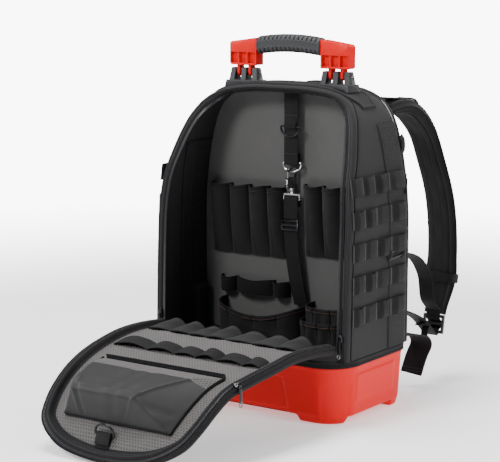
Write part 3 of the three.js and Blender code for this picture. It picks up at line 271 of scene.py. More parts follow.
def makeWovenFinish(name, s):
    # plain weave: threads over and under each other, as a product of two sine waves along and across
    f = Finish(name, Sheen_Weight=s["sheen"], Sheen_Roughness=0.6, Specular_IOR_Level=s["shine"])
    u, v = f.cloth()
    warp = (u * (tau / s["thread"])).sine()
    weft = (v * (tau / s["thread"])).sine()
    weave = warp * weft * 0.5 + 0.5
    worn = f.noise(9.0, 4.0) * 0.65 + f.noise(70.0, 2.0) * 0.35
    shade = (worn - 0.5) * (2 * s["mottle"]) + weave * 0.28 + 0.86
    f.drive("Base Color", f.blend(shade.atMost(1.6) * 0.5, rgb(s["colour"], 0.35), rgb(s["colour"], 1.75)))
    f.drive("Roughness", worn * 0.16 + (s["rough"] - 0.08))
    f.relief(weave * 0.8 + f.noise(260.0, 2.0) * 0.4, s["depth"])
    return f.material


def makeWebbingFinish(name, s):
    # webbing: rounded ribs across the strap with a thread line in them, and flatter selvages
    f = Finish(name, Sheen_Weight=0.03, Sheen_Roughness=0.55, Specular_IOR_Level=0.12)
    u, v = f.cloth()
    turn = (v * (tau / 0.0017)).sine()
    rib = abs((u * (np.pi / s["pitch"]) + turn * 0.55).sine())
    selvage = abs(v).ramp(s["edge"] - 0.0022, s["edge"] - 0.0012)
    rib = rib * (1 - selvage * 0.7)
    worn = f.noise(14.0, 4.0) * 0.6 + f.noise(90.0, 2.0) * 0.4
    shade = rib * 0.45 + (worn - 0.5) * 0.5 + selvage * 0.1 + 0.72
    f.drive("Base Color", f.blend(shade * 0.5, rgb(s["colour"], 0.25), rgb(s["colour"], 1.9)))
    f.drive("Roughness", worn * 0.2 + 0.6)
    f.relief(rib, 0.00028)
    return f.material


def makeMeshFinish(name, s):
    # spacer mesh: rows of small round hollows, every other row moved by half a pitch, with painted shade that
    # darkens the colour in each hollow
    f = Finish(name, Sheen_Weight=0.07, Sheen_Roughness=0.6, Specular_IOR_Level=0.15)
    u, v = f.cloth()
    row = u / s["pitch"]
    odd = (row * 0.5).share().above(0.5)
    across = (v / (s["pitch"] * 1.12) + odd * 0.5).share() - 0.5
    along = row.share() - 0.5
    away = (across * across + along * along) ** 0.5
    hollow = 1 - away.ramp(0.16, 0.4)
    yarn = (u * (tau / s["yarn"])).sine() * (v * (tau / s["yarn"])).sine() * 0.5 + 0.5
    worn = f.noise(11.0, 4.0) * 0.6 + f.noise(60.0, 2.0) * 0.4
    # painted shade: the colour is 62 percent darker in the hollows; the worn noise is random tone and the
    # yarn a fine pattern
    shade = 1.0 - hollow * 0.62 + (worn - 0.5) * 0.5 + yarn * 0.12
    f.drive("Base Color", f.blend(shade * 0.5, rgb(s["colour"], 0.2), rgb(s["colour"], 1.8)))
    f.drive("Roughness", worn * 0.1 + 0.82)
    f.relief((1 - hollow) * 0.9 + yarn * 0.1, s["depth"])
    return f.material


def makeMouldedFinish(name, s):
    # moulded plastic: fine eroded grain, faint flow marks, paler rubbed edges
    f = Finish(name, Specular_IOR_Level=s["shine"])
    speck = f.noise(s["grain"], 2.0, 0.6)
    flow = f.noise(6.0, 3.0)
    scuff = f.noise(38.0, 5.0, 0.7).ramp(0.56, 0.74)
    edge = Signal(f, f.node("ShaderNodeNewGeometry").outputs["Pointiness"]).ramp(0.505, 0.56)
    shade = (flow - 0.5) * 0.14 + (speck - 0.5) * 0.1 + 0.5 + edge * s["wear"] + scuff * 0.03
    f.drive("Base Color", f.blend(shade, rgb(s["colour"], 0.72), rgb(s["colour"], 1.28)))
    f.drive("Roughness", (speck - 0.5) * 0.12 + scuff * 0.07 + edge * -0.08 + s["rough"])
    f.relief(speck * 0.7 + f.noise(s["grain"] * 3.1, 1.0) * 0.3, s["depth"])
    return f.material


def makeMetalFinish(name, s):
    # metal: fine marks make it rougher and a little paler, in a soft haze
    f = Finish(name, Metallic=1.0)
    marks = f.noise(160.0, 4.0, 0.7)
    haze = f.noise(22.0, 3.0)
    f.drive("Base Color", f.blend(haze * 0.6 + marks * 0.2, rgb(s["colour"], 0.72), rgb(s["colour"], 1.15)))
    f.drive("Roughness", marks * s["scratch"] + haze * 0.08 + (s["rough"] - 0.5 * s["scratch"]))
    f.relief(marks, 0.00002)
    return f.material


def makeThreadFinish(name, s):
    # thread: fine noise between a dark and a pale shade of its colour
    f = Finish(name, Sheen_Weight=0.3, Roughness=0.7)
    twist = f.noise(900.0, 1.0) * 0.8 + 0.1
    f.drive("Base Color", f.blend(twist, rgb(s["colour"], 0.6), rgb(s["colour"], 1.4)))
    f.relief(twist, 0.00005)
    return f.material


looks = {}
for makeFinish, kinds in ((makeWovenFinish, clothSettings), (makeWebbingFinish, webbingSettings),
                          (makeMeshFinish, meshSettings), (makeMouldedFinish, mouldingSettings),
                          (makeMetalFinish, metalSettings), (makeThreadFinish, threadSettings)):
    looks.update({name: makeFinish(name, s) for name, s in kinds.items()})
print("finishes made:", len(looks))


# Surfaces from arrays

def lerp(a, b, t):
    # a where t is 0, b where it is 1
    return a + (b - a) * t


def smooth(low, high, x):
    # 0 at low, 1 at high, and 3 t squared minus 2 t cubed between; low may be the larger
    t = np.clip((np.asarray(x, float) - low) / (high - low), 0, 1)
    return t * t * (3 - 2 * t)


def lengths(points):
    # distance along a line of points, from its start
    return np.concatenate([[0.0], np.cumsum(np.linalg.norm(np.diff(points, axis=0), axis=1))])


def evenly(points, count):
    # the same line with its points at equal distances
    d = lengths(points)
    s = np.linspace(0, d[-1], count)
    return np.stack([np.interp(s, d, points[:, k]) for k in range(points.shape[1])], 1)


def curveThrough(places, count, perSpan=24):
    # centripetal Catmull-Rom curve: each span is two turns of straight blends between four places
    p = np.asarray(places, float)
    p = np.vstack([2 * p[0] - p[1], p, 2 * p[-1] - p[-2]])
    knot = np.concatenate([[0.0], np.cumsum(np.linalg.norm(np.diff(p, axis=0), axis=1) ** 0.5)])
    spans = len(p) - 3
    share = np.linspace(0, spans, spans * perSpan + 1)
    i = np.minimum(share.astype(int), spans - 1)
    t = (knot[i + 1] + (share - i) * (knot[i + 2] - knot[i + 1]))[:, None]
    k0, k1, k2, k3 = (knot[i + n][:, None] for n in range(4))
    a1 = (k1 - t) / (k1 - k0) * p[i] + (t - k0) / (k1 - k0) * p[i + 1]
    a2 = (k2 - t) / (k2 - k1) * p[i + 1] + (t - k1) / (k2 - k1) * p[i + 2]
    a3 = (k3 - t) / (k3 - k2) * p[i + 2] + (t - k2) / (k3 - k2) * p[i + 3]
    b1 = (k2 - t) / (k2 - k0) * a1 + (t - k0) / (k2 - k0) * a2
    b2 = (k3 - t) / (k3 - k1) * a2 + (t - k1) / (k3 - k1) * a3
    return evenly((k2 - t) / (k2 - k1) * b1 + (t - k1) / (k2 - k1) * b2, count)


def makePiece(name, points, faces, look, corners=None, body="bag", replaces=(), slot=None, sharp=32,
              flat=False, lookOfFace=None):
    # a mesh from points in millimetres and faces of any size; corners holds each face corner's map place
    mesh = bpy.data.meshes.new(name)
    mesh.from_pydata((np.asarray(points, float).reshape(-1, 3) * mm).tolist(), [], faces)
    if corners is not None:
        layer = mesh.uv_layers.new(name="cloth")
        layer.data.foreach_set("uv", (np.asarray(corners, np.float32) * mm).ravel())
    mesh.validate()
    mesh.polygons.foreach_set("use_smooth", np.full(len(mesh.polygons), not flat))
    for one in look if isinstance(look, (list, tuple)) else [look]:
        mesh.materials.append(looks[one])
    if lookOfFace is not None:
        mesh.polygons.foreach_set("material_index", np.asarray(lookOfFace, np.int32))
    if sharp and not flat:
        mesh.set_sharp_from_angle(angle=np.radians(sharp))
    piece = bpy.data.objects.new(name, mesh)
    bpy.context.scene.collection.objects.link(piece)
    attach(piece, body)
    if replaces:
        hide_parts(*((replaces,) if isinstance(replaces, str) else replaces))
    return piece


def gridCorners(rows, columns, wrapRows, wrapColumns):
    # row and column of the four corners of each face of a grid
    i, j = np.meshgrid(np.arange(rows - 1 + wrapRows), np.arange(columns - 1 + wrapColumns), indexing="ij")
    i, j = i.ravel(), j.ravel()
    return np.stack([i, i, i + 1, i + 1], 1), np.stack([j, j + 1, j + 1, j], 1)


def gridMap(grid, wrapRows, wrapColumns):
    # distance along and across at each place of a grid, in millimetres
    full = np.concatenate([grid, grid[:1]], 0) if wrapRows else grid
    full = np.concatenate([full, full[:, :1]], 1) if wrapColumns else full
    down = np.linalg.norm(np.diff(full, axis=0), axis=2)
    over = np.linalg.norm(np.diff(full, axis=1), axis=2)
    u = np.concatenate([np.zeros((1, full.shape[1])), np.cumsum(down, 0)], 0)
    v = np.concatenate([np.zeros((full.shape[0], 1)), np.cumsum(over, 1)], 1)
    return np.stack([u, v], 2)


def signedVolume(points, faces):
    # six times the volume that triangles from the first corner of each face hold
    total = 0.0
    for size in (3, 4):
        some = np.array([f for f in faces if len(f) == size], int).reshape(-1, size)
        for k in range(1, size - 1):
            a, b, c = (points[some[:, n]] for n in (0, k, k + 1))
            total += float(np.einsum("ij,ij->i", a, np.cross(b, c)).sum())
    return total


def turnedOver(faces, corners):
    # the same faces seen from the other side, with their map in the new order
    stops = np.cumsum([0] + [len(f) for f in faces])
    order = np.concatenate([np.arange(b - 1, a - 1, -1) for a, b in zip(stops[:-1], stops[1:])])
    return [f[::-1] for f in faces], corners[order]


def shape(name, grid, look, wrapRows=False, uv=None, strips=False, **more):
    # a closed surface from a grid: rings of points in rows, with a fan or a strip over each open end
    grid = np.asarray(grid, float)
    rows, columns = grid.shape[:2]
    r, c = gridCorners(rows, columns, wrapRows, True)
    faces = ((r % rows) * columns + c % columns).tolist()
    places = gridMap(grid, wrapRows, True) if uv is None else uv
    corners = places[r, c].reshape(-1, 2)
    points = grid.reshape(-1, 3)
    if strips:
        half = columns // 2
        k = np.arange(half - 1)
        for row, turn in ((0, -1), (rows - 1, 1)):
            ends = (row * columns + np.stack([k, k + 1, columns - 2 - k, columns - 1 - k], 1))[:, ::turn]
            faces += ends.tolist()
            corners = np.vstack([corners, (points[ends] - points[row * columns])[..., :2].reshape(-1, 2)])
    elif not wrapRows:
        ring = np.arange(columns)
        for end, row in enumerate((0, rows - 1)):
            points = np.vstack([points, grid[row].mean(0)])
            a, b = row * columns + ring, row * columns + (ring + 1) % columns
            pair = (b, a) if end == 0 else (a, b)
            fan = np.stack([np.full(columns, len(points) - 1), *pair], 1)
            faces += fan.tolist()
            corners = np.vstack([corners, (points[fan] - points[-1])[..., :2].reshape(-1, 2)])
    if signedVolume(points, faces) < 0:
        faces, corners = turnedOver(faces, corners)
    if "lookOfFace" in more:
        rest = np.zeros(len(faces) - len(more["lookOfFace"]))
        more["lookOfFace"] = np.concatenate([more["lookOfFace"], rest])
    return makePiece(name, points, faces, look, corners, **more)


def framesOf(path, side, closed=False):
    # level and up directions along a path, for a chosen side direction
    path = np.asarray(path, float)
    if closed:
        along = np.roll(path, -1, 0) - np.roll(path, 1, 0)
    else:
        along = np.gradient(path, axis=0)
    along /= np.linalg.norm(along, axis=1)[:, None]
    side = np.broadcast_to(np.asarray(side, float), path.shape)
    up = np.cross(along, side)
    up /= np.linalg.norm(up, axis=1)[:, None]
    return np.cross(up, along), up


def sweep(name, path, profile, side, look, closed=False, size=None, flatMap=True, **more):
    # a profile carried along a path: path + level * first + up * second
    path = np.asarray(path, float)
    profile = np.asarray(profile, float)
    level, up = framesOf(path, side, closed)
    profiles = np.broadcast_to(profile, (len(path), len(profile), 2))
    if size is not None:
        profiles = profiles * size[:, None]
    grid = path[:, None] + level[:, None] * profiles[..., :1] + up[:, None] * profiles[..., 1:]
    d = lengths(np.vstack([path, path[:1]]) if closed else path)
    ring = np.concatenate([profiles, profiles[:, :1]], 1)
    if closed:
        ring = np.concatenate([ring, ring[:1]], 0)
    over = ring[..., 0] if flatMap else np.concatenate(
        [np.zeros((len(ring), 1)), np.cumsum(np.linalg.norm(np.diff(ring, axis=1), axis=2), 1)], 1)
    uv = np.stack([np.broadcast_to(d[:, None], over.shape), over], 2)
    return shape(name, grid, look, wrapRows=closed, uv=uv, **more)


def flatProfile(width, thickness, steps=4):
    # webbing: a flat middle between two half rounds
    a = np.linspace(-np.pi / 2, np.pi / 2, steps + 1)
    r = thickness / 2
    right = np.stack([width / 2 - r + r * np.cos(a), r * np.sin(a)], 1)
    return np.vstack([right, -right])


def roundProfile(radius, sides=12, squash=1.0):
    # points of a circle, made lower by a factor
    a = np.arange(sides) * tau / sides
    return np.stack([radius * np.cos(a), radius * squash * np.sin(a)], 1)


def webbing(name, path, width, thickness, side=(1, 0, 0), look="webbing", slot="webbing_cloth", **more):
    # a flat profile carried along a path
    return sweep(name, path, flatProfile(width, thickness), side, look, slot=slot, **more)


def rod(name, path, radius, side, look="edgeCloth", sides=8, squash=1.0, **more):
    # a round profile carried along a path
    return sweep(name, path, roundProfile(radius, sides, squash), side, look, flatMap=False, **more)


def softRing(sides, power, powerUp=None):
    # a section between an ellipse and a box: cosine and sine with their signs, each to a power
    a = np.arange(sides) * tau / sides
    c, d = np.cos(a), np.sin(a)
    return np.stack([np.sign(c) * abs(c) ** power, np.sign(d) * abs(d) ** (powerUp or power)], 1)


def blockAlong(at, long, along, over, up, ring, wide, high):
    # a rounded block: a soft section times its own width and height at each step of the length
    u = np.linspace(-1, 1, len(wide))[:, None, None]
    across, above = ring[None, :, :1] * wide[:, None, None], ring[None, :, 1:] * high[:, None, None]
    return at + u * long * along + across * over + above * up


def closedSheet(front, back, uv):
    # the two faces of a sheet as rings that go out over its front and come back over its back, and their map
    return np.concatenate([front, back[:, ::-1]], 1), np.concatenate([uv, uv[:, ::-1], uv[:, :1]], 1)


def sheetOf(name, front, back, look, uv=None, **more):
    # a sheet of cloth with its two faces, strips over its ends and the map of its front
    ring, uv = closedSheet(front, back, gridMap(front, False, False) if uv is None else uv)
    return shape(name, ring, look, uv=uv, strips=True, **more)


def declareSheet(grid):
    # the lengths of its grid's steps along and across, in metres; they are measured and not kept
    grid = np.asarray(grid, float) * mm
    down = np.linalg.norm(np.diff(grid, axis=0), axis=2)
    over = np.linalg.norm(np.diff(grid, axis=1), axis=2)


def copies(name, centres, axes, block, faces, look, **more):
    # one small block repeated: centre + axes times the block's points
    points = centres[:, None] + np.einsum("nij,kj->nki", axes, block)
    count = len(block)
    shift = (np.arange(len(centres)) * count)[:, None]
    everyFace = []
    for f in faces:
        everyFace += (shift + np.array(f)[None]).tolist()
    return makePiece(name, points, everyFace, look, **more)


brick = np.array([[x, y, z] for x in (-0.5, 0.5) for y in (-0.5, 0.5) for z in (-0.5, 0.5)])
brickFaces = [[0, 1, 3, 2], [4, 6, 7, 5], [0, 4, 5, 1], [2, 3, 7, 6], [0, 2, 6, 4], [1, 5, 7, 3]]


def axesAlong(path, up):
    # three directions at each place of a path: along it, across it and up
    along = np.gradient(path, axis=0)
    along /= np.linalg.norm(along, axis=1)[:, None]
    up = np.broadcast_to(np.asarray(up, float), path.shape)
    across = np.cross(up, along)
    across /= np.linalg.norm(across, axis=1)[:, None]
    return np.stack([along, across, np.cross(along, across)], 2)


def placesAt(s, path, up):
    # where and how a thing stands at distances along a path: places and axes
    d = lengths(path)
    even = np.stack([np.interp(s, d, path[:, k]) for k in range(3)], 1)
    up = np.asarray(up, float)
    if up.ndim == 2:
        up = np.stack([np.interp(s, d, up[:, k]) for k in range(3)], 1)
    return even, axesAlong(even, up)


# a stitch as shares of its length, width and height, and its faces
lozenge = np.array([[-0.5, 0, 0], [0.5, 0, 0], [-0.2, -0.5, 0], [0.2, -0.5, 0], [0.2, 0.5, 0], [-0.2, 0.5, 0],
                    [-0.2, 0, 1], [0.2, 0, 1]])
lozengeFaces = [[2, 3, 7, 6], [5, 6, 7, 4], [0, 2, 6], [0, 6, 5], [1, 7, 3], [1, 4, 7]]


def stitches(name, path, up, look="darkThread", pitch=4.0, long=2.7, wide=0.55, high=0.42,
             slot="webbing_cloth"):
    # a row of thread stitches: lozenges whose middle stands up from the cloth, their two tips sunk in it
    path = np.asarray(path, float)
    whole = lengths(path)[-1]
    count = max(2, int(whole / pitch))
    even, axes = placesAt((np.arange(count) + 0.5) * whole / count, path, up)
    block = lozenge * [long, wide, high]
    block[:2, 2] = -0.1
    return copies(name, even, axes, block, lozengeFaces, look, sharp=None, slot=slot)


def tackRow(name, middle, up=(0, 1, 0), half=11.0):
    # a straight row of stitches across webbing
    line = np.asarray(middle, float) + np.linspace(-half, half, 20)[:, None] * [1.0, 0, 0]
    return stitches(name, line, up, pitch=2.2, long=1.9)


def zipTeeth(name, path, up, pitch=1.8, wide=4.2, high=1.5, slot="webbing_cloth"):
    # two rows of teeth that stand against each other by half a pitch
    count = int(lengths(path)[-1] / pitch)
    even, axes = placesAt((np.arange(count) + 0.5) * pitch, path, up)
    side = np.where(np.arange(count) % 2 == 0, 1.0, -1.0)[:, None]
    centres = even + axes[:, :, 1] * side * wide * 0.2
    block = brick * [pitch * 1.25, wide * 0.62, high]
    return copies(name, centres, axes, block, brickFaces, "coil", flat=True, slot=slot)


print("shape tools ready")

# The body's outline, the same as the frame's: half widths and heights as shares. The seat is the height
# where the body meets the hem, and the board's foot lies below it on the hem's floor.

body = {
    "width": 343.0, "top": 476.0, "front": -81.0, "rear": 92.0, "trayTop": 84.0, "bottom": 95.6,
    "boardFoot": 88.6,
    "arch": [(0.25, 1.0), (0.5, 1.0), (0.653, 0.972), (0.806, 0.906), (0.895, 0.832), (0.946, 0.738),
             (0.98, 0.58), (0.997, 0.33), (1.0, 0.0), (0.997, -0.33)],
    "lean": [(0, 0), (0.4, 0.029), (0.55, 0.052), (0.653, 0.088), (0.755, 0.183), (0.844, 0.276),
             (0.921, 0.379), (0.96, 0.44), (1.0, 0.474)],
}
bodyHeight = body["top"] - body["trayTop"]


def leftOf(line):
    # directions square to a line in x and z
    along = np.gradient(line, axis=0)
    along /= np.linalg.norm(along, axis=1)[:, None]
    return np.stack([-along[:, 1], along[:, 0]], 1)


def archLine(bottom, offset=0.0, count=241):
    # from the left foot over the top to the right foot, moved outwards by an offset: x and z
    table = np.array(body["arch"])
    places = np.stack([table[:, 1] * body["width"] / 2, body["trayTop"] + bodyHeight * table[:, 0]], 1)
    curve = curveThrough(places, 900)
    curve = curve[(curve[:, 0] >= 0) & (curve[:, 1] > places[1, 1])]
    right = np.vstack([[[body["width"] / 2, bottom]], [[body["width"] / 2, places[1, 1]]], curve,
                       [[0.0, body["top"]]]])
    whole = np.vstack([right * [-1, 1], right[-2::-1]])
    line = evenly(whole, count)
    out = leftOf(line)
    return line + out * offset, out


def mouthAt(z):
    # y of the mouth's edge at a height
    share = np.clip((np.asarray(z, float) - body["trayTop"]) / bodyHeight, 0, 1)
    table = np.array(body["lean"], float)
    curve = curveThrough(table, 400)
    return body["front"] + (body["rear"] - body["front"]) * np.interp(share, curve[:, 0], curve[:, 1])


def archPoint(line, y):
    # a line in x and z put at a place along y
    return np.stack([line[:, 0], np.broadcast_to(y, len(line)), line[:, 1]], 1)


def halfAt(z):
    # half width of the outline at heights
    line, out = archLine(body["bottom"], 0.0, 801)
    half = line[len(line) // 2:][::-1]
    return np.interp(z, half[:, 1], half[:, 0])


# Base tray: rings of a rounded rectangle whose size, height and relief change from row to row

traySettings = {
    "width": 338.0, "depth": 186.0, "height": 84.0, "corner": 50.0, "rearShare": 0.4, "draft": 5.0,
    "footRise": 9.0,
    "wall": 3.0, "padRadius": 20.0, "padRows": [(0.0, 0.90), (0.4, 0.96), (1.6, 1.0), (8.9, 1.0)],
    "footFromX": 91.0, "footFromY": 59.0, "recess": (75.0, 62.0, 4.6),
    "sidePanel": ((-44, 57), (34, 70), 1.1), "perEdge": 64, "perCorner": 26,
}


def ringOf(halfX, halfY, front, perEdge, perCorner):
    # rounded rectangle from the rear right corner, counter-clockwise: place, outward direction. The rear
    # corners have a share of the front corners' radius.
    a = (np.arange(perCorner) + 0.5) / perCorner * np.pi / 2
    places, outs = [], []
    for turn, (sx, sy) in enumerate([(1, 1), (-1, 1), (-1, -1), (1, -1)]):
        angle = a + turn * np.pi / 2
        out = np.stack([np.cos(angle), np.sin(angle)], 1)
        nextX, nextY = [(-1, 1), (-1, -1), (1, -1), (1, 1)][turn]
        corner, after = (front * (traySettings["rearShare"] if side > 0 else 1) for side in (sy, nextY))
        places.append(np.array([sx * (halfX - corner), sy * (halfY - corner)]) + corner * out)
        outs.append(out)
        out = np.array([[0, 1], [-1, 0], [0, -1], [1, 0]][turn], float)
        start = np.array([sx * (halfX - corner), sy * (halfY - corner)]) + corner * out
        end = np.array([nextX * (halfX - after), nextY * (halfY - after)]) + after * out
        t = (np.arange(perEdge) / (perEdge - 1))[:, None]
        places.append(start + (end - start) * t)
        outs.append(np.broadcast_to(out, (perEdge, 2)))
    return np.vstack(places), np.vstack(outs)


def makeTray(s):
    # rings up the outside, over the rim and down the inside; each goes in by draft, relief and its own inset
    place, out = ringOf(s["width"] / 2, s["depth"] / 2, s["corner"], s["perEdge"], s["perCorner"])
    x, y = place[:, 0], place[:, 1]
    foot = smooth(s["footFromX"], s["footFromX"] + 5, abs(x))
    foot = foot * smooth(s["footFromY"], s["footFromY"] + 5, abs(y))
    low = s["footRise"] * (1 - foot)

    def relief(z):
        # how far the outer face stands back from the plain wall
        half, top, deep = s["recess"]
        inside = smooth(half + 5 - 0.16 * z, half - 0.16 * z, abs(x)) * smooth(top + 3, top - 2, z)
        inside = inside * (y < -80)
        (y0, y1), (z0, z1), proud = s["sidePanel"]
        side = smooth(y0 - 3, y0, y) * smooth(y1 + 3, y1, y) * smooth(z0 - 4, z0, z) * smooth(z1 + 3, z1, z)
        side = side * (abs(x) > 150)
        turn = abs(np.arctan2(-y - s["depth"] / 2 + s["corner"],
                              abs(x) - s["width"] / 2 + s["corner"]) - 0.78)
        corner = smooth(0.52, 0.46, turn) * smooth(62, 54, z - 5 * np.cos(turn * 3)) * (y < 0)
        lip = 1.2 * smooth(5.2, 3.6, s["height"] - z)
        return inside * deep - side * proud + corner * 0.9 - lip * 0.45

    def ring(z, inset, plain=False):
        z = np.broadcast_to(z, x.shape)
        back = inset + s["draft"] * (1 - z / s["height"]) + (0 if plain else relief(z))
        return np.stack([x - out[:, 0] * back, y - out[:, 1] * back, z], 1)

    rows = []
    for t in np.linspace(0, 1, 5):
        rows.append(ring(low + 0.01, 6 + 11 * (1 - t), True))
    for t in np.array([0.0, 0.25, 0.55, 0.8, 1.0]) * np.pi / 2:
        rows.append(ring(low + 4.0 * (1 - np.cos(t)), 6.0 - np.sin(t) * (6.0 - 2.4 * foot)))
    for t in (0.25, 0.6, 1.0):
        rows.append(ring(lerp(low + 4.0, 14.5, t), (1 - smooth(0, 1, t)) * 2.4 * foot))
    for z in np.concatenate([np.linspace(16, 34, 8), np.linspace(36, 76, 26),
                             [78, 79.5, 80.5, 81.5, 82.6, 83.5]]):
        rows.append(ring(z, 0.0))
    rows.append(ring(84.0, 0.7, True))
    rows.append(ring(84.0, s["wall"] - 0.5, True))
    for z in (83.2, 60, 30, 18):
        rows.append(ring(z, s["wall"], True))
    for t in np.linspace(0.2, 1, 4):
        rows.append(ring(18 - 6 * np.sin(t * np.pi / 2), s["wall"] + 6 * (1 - np.cos(t * np.pi / 2)), True))
    grid = np.array(rows)
    inner = grid[-1]
    recessed = (abs(inner[:, 0]) < 84) & (inner[:, 1] < -60)
    inner[recessed, 1] = np.maximum(inner[recessed, 1], -78)
    return grid


shape("baseTray", makeTray(traySettings), "redMoulding", sharp=40, replaces="base_tray")
pad = roundProfile(traySettings["padRadius"], 40)
padRings = [np.column_stack([pad * r, np.full(40, z)]) for z, r in traySettings["padRows"]]
shape("trayCentrePad", padRings, "redMoulding")


# Hem between tray and fabric: bound in tape, with a rounded front and a floor of cloth

hemSettings = {
    "low": 84.3, "grow": 3.0, "stitchUp": 92.6,
    # in from the outline and up from the tray, from the underside outwards, over the rim and to the floor
    "section": [(6.0, 0.1), (1.0, 0.1), (0.3, 0.5), (0.0, 1.6), (0.05, 3.0), (0.7, 3.9), (0.9, 4.3),
                (0.3, 4.9),
                (-0.1, 6.6), (0.1, 8.6), (0.5, 9.9), (1.5, 10.8), (3.2, 11.0), (4.2, 10.6), (4.5, 9.6),
                (4.9, 5.0), (7.0, 4.2), (20, 4.0)],
}


def hemRing(s):
    # the tray's outline, grown
    half = (traySettings["width"] / 2 + s["grow"], traySettings["depth"] / 2 + s["grow"])
    return ringOf(*half, traySettings["corner"] + s["grow"], 40, 22)


def makeHem(s):
    # the outline moved in and up by each step of the section
    place, out = hemRing(s)
    return np.array([np.column_stack([place - out * inset, np.full(len(place), s["low"] + up)])
                     for inset, up in s["section"]])


shape("hemBand", makeHem(hemSettings), "edgeCloth", sharp=50, replaces="hem_band", slot="body_cloth")
hemLine, hemOut = (np.vstack([v, v[:1]]) for v in hemRing(hemSettings))
hemPath = np.column_stack([hemLine, np.full(len(hemLine), hemSettings["stitchUp"])])
stitches("hemStitches", hemPath, np.column_stack([hemOut, np.zeros(len(hemOut))]), pitch=4.2,
         slot="body_cloth")
print("base and hem made")


# Body shell: one closed section carried round the arch. Each place of the section is measured from the
# mouth or from the rear, and in from the outline.

shellSettings = {
    "thinner": 0.42,
    "section": [
        # where from, and the steps there: along y, in from the outline
        ("rear", [(-20.0, 5.0)]),
        ("mid", [(0.66, 5.0), (0.33, 5.0)]),
        ("front", [(16.0, 5.0), (11.0, 5.2), (8.6, 6.4), (7.4, 8.6), (5.4, 9.9), (3.0, 10.1), (1.2, 9.2),
                   (0.4, 7.6), (0.6, 6.2), (1.1, 5.4), (0.5, 4.8), (0.1, 3.6), (0.5, 2.0), (1.7, 0.7),
                   (3.6, -0.1), (6.0, -0.4), (8.4, -0.2), (10.2, 0.45), (11.2, 1.1), (11.9, 1.15),
                   (12.8, 0.5), (15.0, 0.05), (20.0, -0.15)]),
        ("mid", [(0.25, -0.15), (0.5, -0.1), (0.75, 0.0)]),
        ("rear", [(-15.5, 0.0), (-13.2, 0.15), (-12.4, 0.9), (-11.6, 1.1), (-10.6, 0.6), (-9.6, 0.5),
                  (-8.4, 0.6), (-7.6, 1.1), (-6.9, 0.9), (-6.0, 0.1), (-4.6, -0.5), (-3.0, -0.55),
                  (-1.6, -0.1), (-0.5, 0.9), (0.0, 2.4), (0.0, 6.5), (-0.4, 9.0), (-2.5, 8.4),
                  (-7.0, 5.2), (-12.0, 5.0)]),
    ],
}


def thinAt(line):
    # share by which the mouth's border draws in under the handle: 1 in the middle, 0 down the sides
    return smooth(128, 92, abs(line[:, 0])) * (line[:, 1] > body["bottom"] + 200)


def makeShell(s):
    # at each place of the arch, the section's steps along y and in from the outline
    base, out = archLine(body["bottom"], 0.0, 301)
    start = mouthAt(base[:, 1])
    thin = 1 - s["thinner"] * thinAt(base)[:, None]
    columns = []
    for origin, along, inset in [(origin, *step) for origin, steps in s["section"] for step in steps]:
        y = {"front": start + along, "rear": np.full(len(base), body["rear"] + along),
             "mid": lerp(start + 20, body["rear"] - 15.5, along)}[origin]
        line = base - out * inset * (thin if origin == "front" and inset > 4 else 1)
        z = line[:, 1].copy()
        # soft pads: the wall breathes a little between its seams
        swell = 0.35 * np.sin(z / 37.0 + y / 29.0) * np.sin(y / 23.0 + 1.0)
        if origin == "mid" and inset <= 0:
            line = line + out * swell[:, None]
        columns.append(archPoint(np.column_stack([line[:, 0], np.maximum(line[:, 1], body["bottom"])]), y))
    return np.stack(columns, 1)


shellGrid = makeShell(shellSettings)
shell = shape("bodyShell", shellGrid, "shellCloth", sharp=40, replaces="body_shell")


def alongArch(offset, fromMouth=None, fromRear=0.0, count=301):
    # a line on the body at a distance from its outline, and from the mouth's edge or from the rear
    line, out = archLine(body["bottom"], offset, count)
    base, _ = archLine(body["bottom"], 0.0, count)
    where = body["rear"] + fromRear if fromMouth is None else mouthAt(base[:, 1]) + fromMouth
    path = archPoint(line, where)
    path[:, 2] = np.maximum(path[:, 2], body["bottom"])
    return path, np.stack([out[:, 0], np.zeros(count), out[:, 1]], 1)


stitches("frontSeamStitches", *alongArch(0.15, 14.2), pitch=4.4, slot="body_cloth")
path, up = alongArch(-0.2, 11.5)
rod("frontPiping", path, 1.15, up, slot="body_cloth")

# rear zip of the back compartment, let into the shell between two seams, and the piping behind it
zipTeeth("rearZipTeeth", *alongArch(-0.35, fromRear=-9.6), wide=3.6, high=1.1, slot="body_cloth")
stitches("rearSeamStitches", *alongArch(0.1, fromRear=-14.6), pitch=4.4, slot="body_cloth")

# zip tape round the mouth, its teeth and the binding between tape and lip
# the roll is an angle, and inner and forward are where the tape starts
mouthSettings = {"roll": 1.05, "inner": 10.4, "forward": 1.1}


def alongMouth(s, inset, forward):
    # a line in the mouth's border; under the handle the border is thinner and its inner part rolls backwards
    path, up = alongArch(-s["inner"], s["forward"])
    share = thinAt(path[:, [0, 2]])[:, None]
    turn = s["roll"] * share
    back = np.array([0, 1.0, 0])
    inward = -up * np.cos(turn) + back * np.sin(turn)
    facing = -back * np.cos(turn) - up * np.sin(turn)
    path = path + up * s["inner"] * shellSettings["thinner"] * share
    path = path + inward * (inset - s["inner"]) + facing * (s["forward"] - forward)
    return path, -inward, facing


path, up, facing = alongMouth(mouthSettings, 13.9, 1.1)
webbing("mouthZipTape", path, 6.9, 1.2, up, "edgeCloth", replaces="mouth_zip_tape")
path, up, facing = alongMouth(mouthSettings, 15.6, 0.4)
zipTeeth("mouthZipTeeth", path, facing, pitch=1.7, wide=4.0)
path, up, facing = alongMouth(mouthSettings, 10.8, 0.7)
rod("mouthBinding", path, 1.0, up, slot="webbing_cloth")
print("body shell made")


# Divider board and the padded back

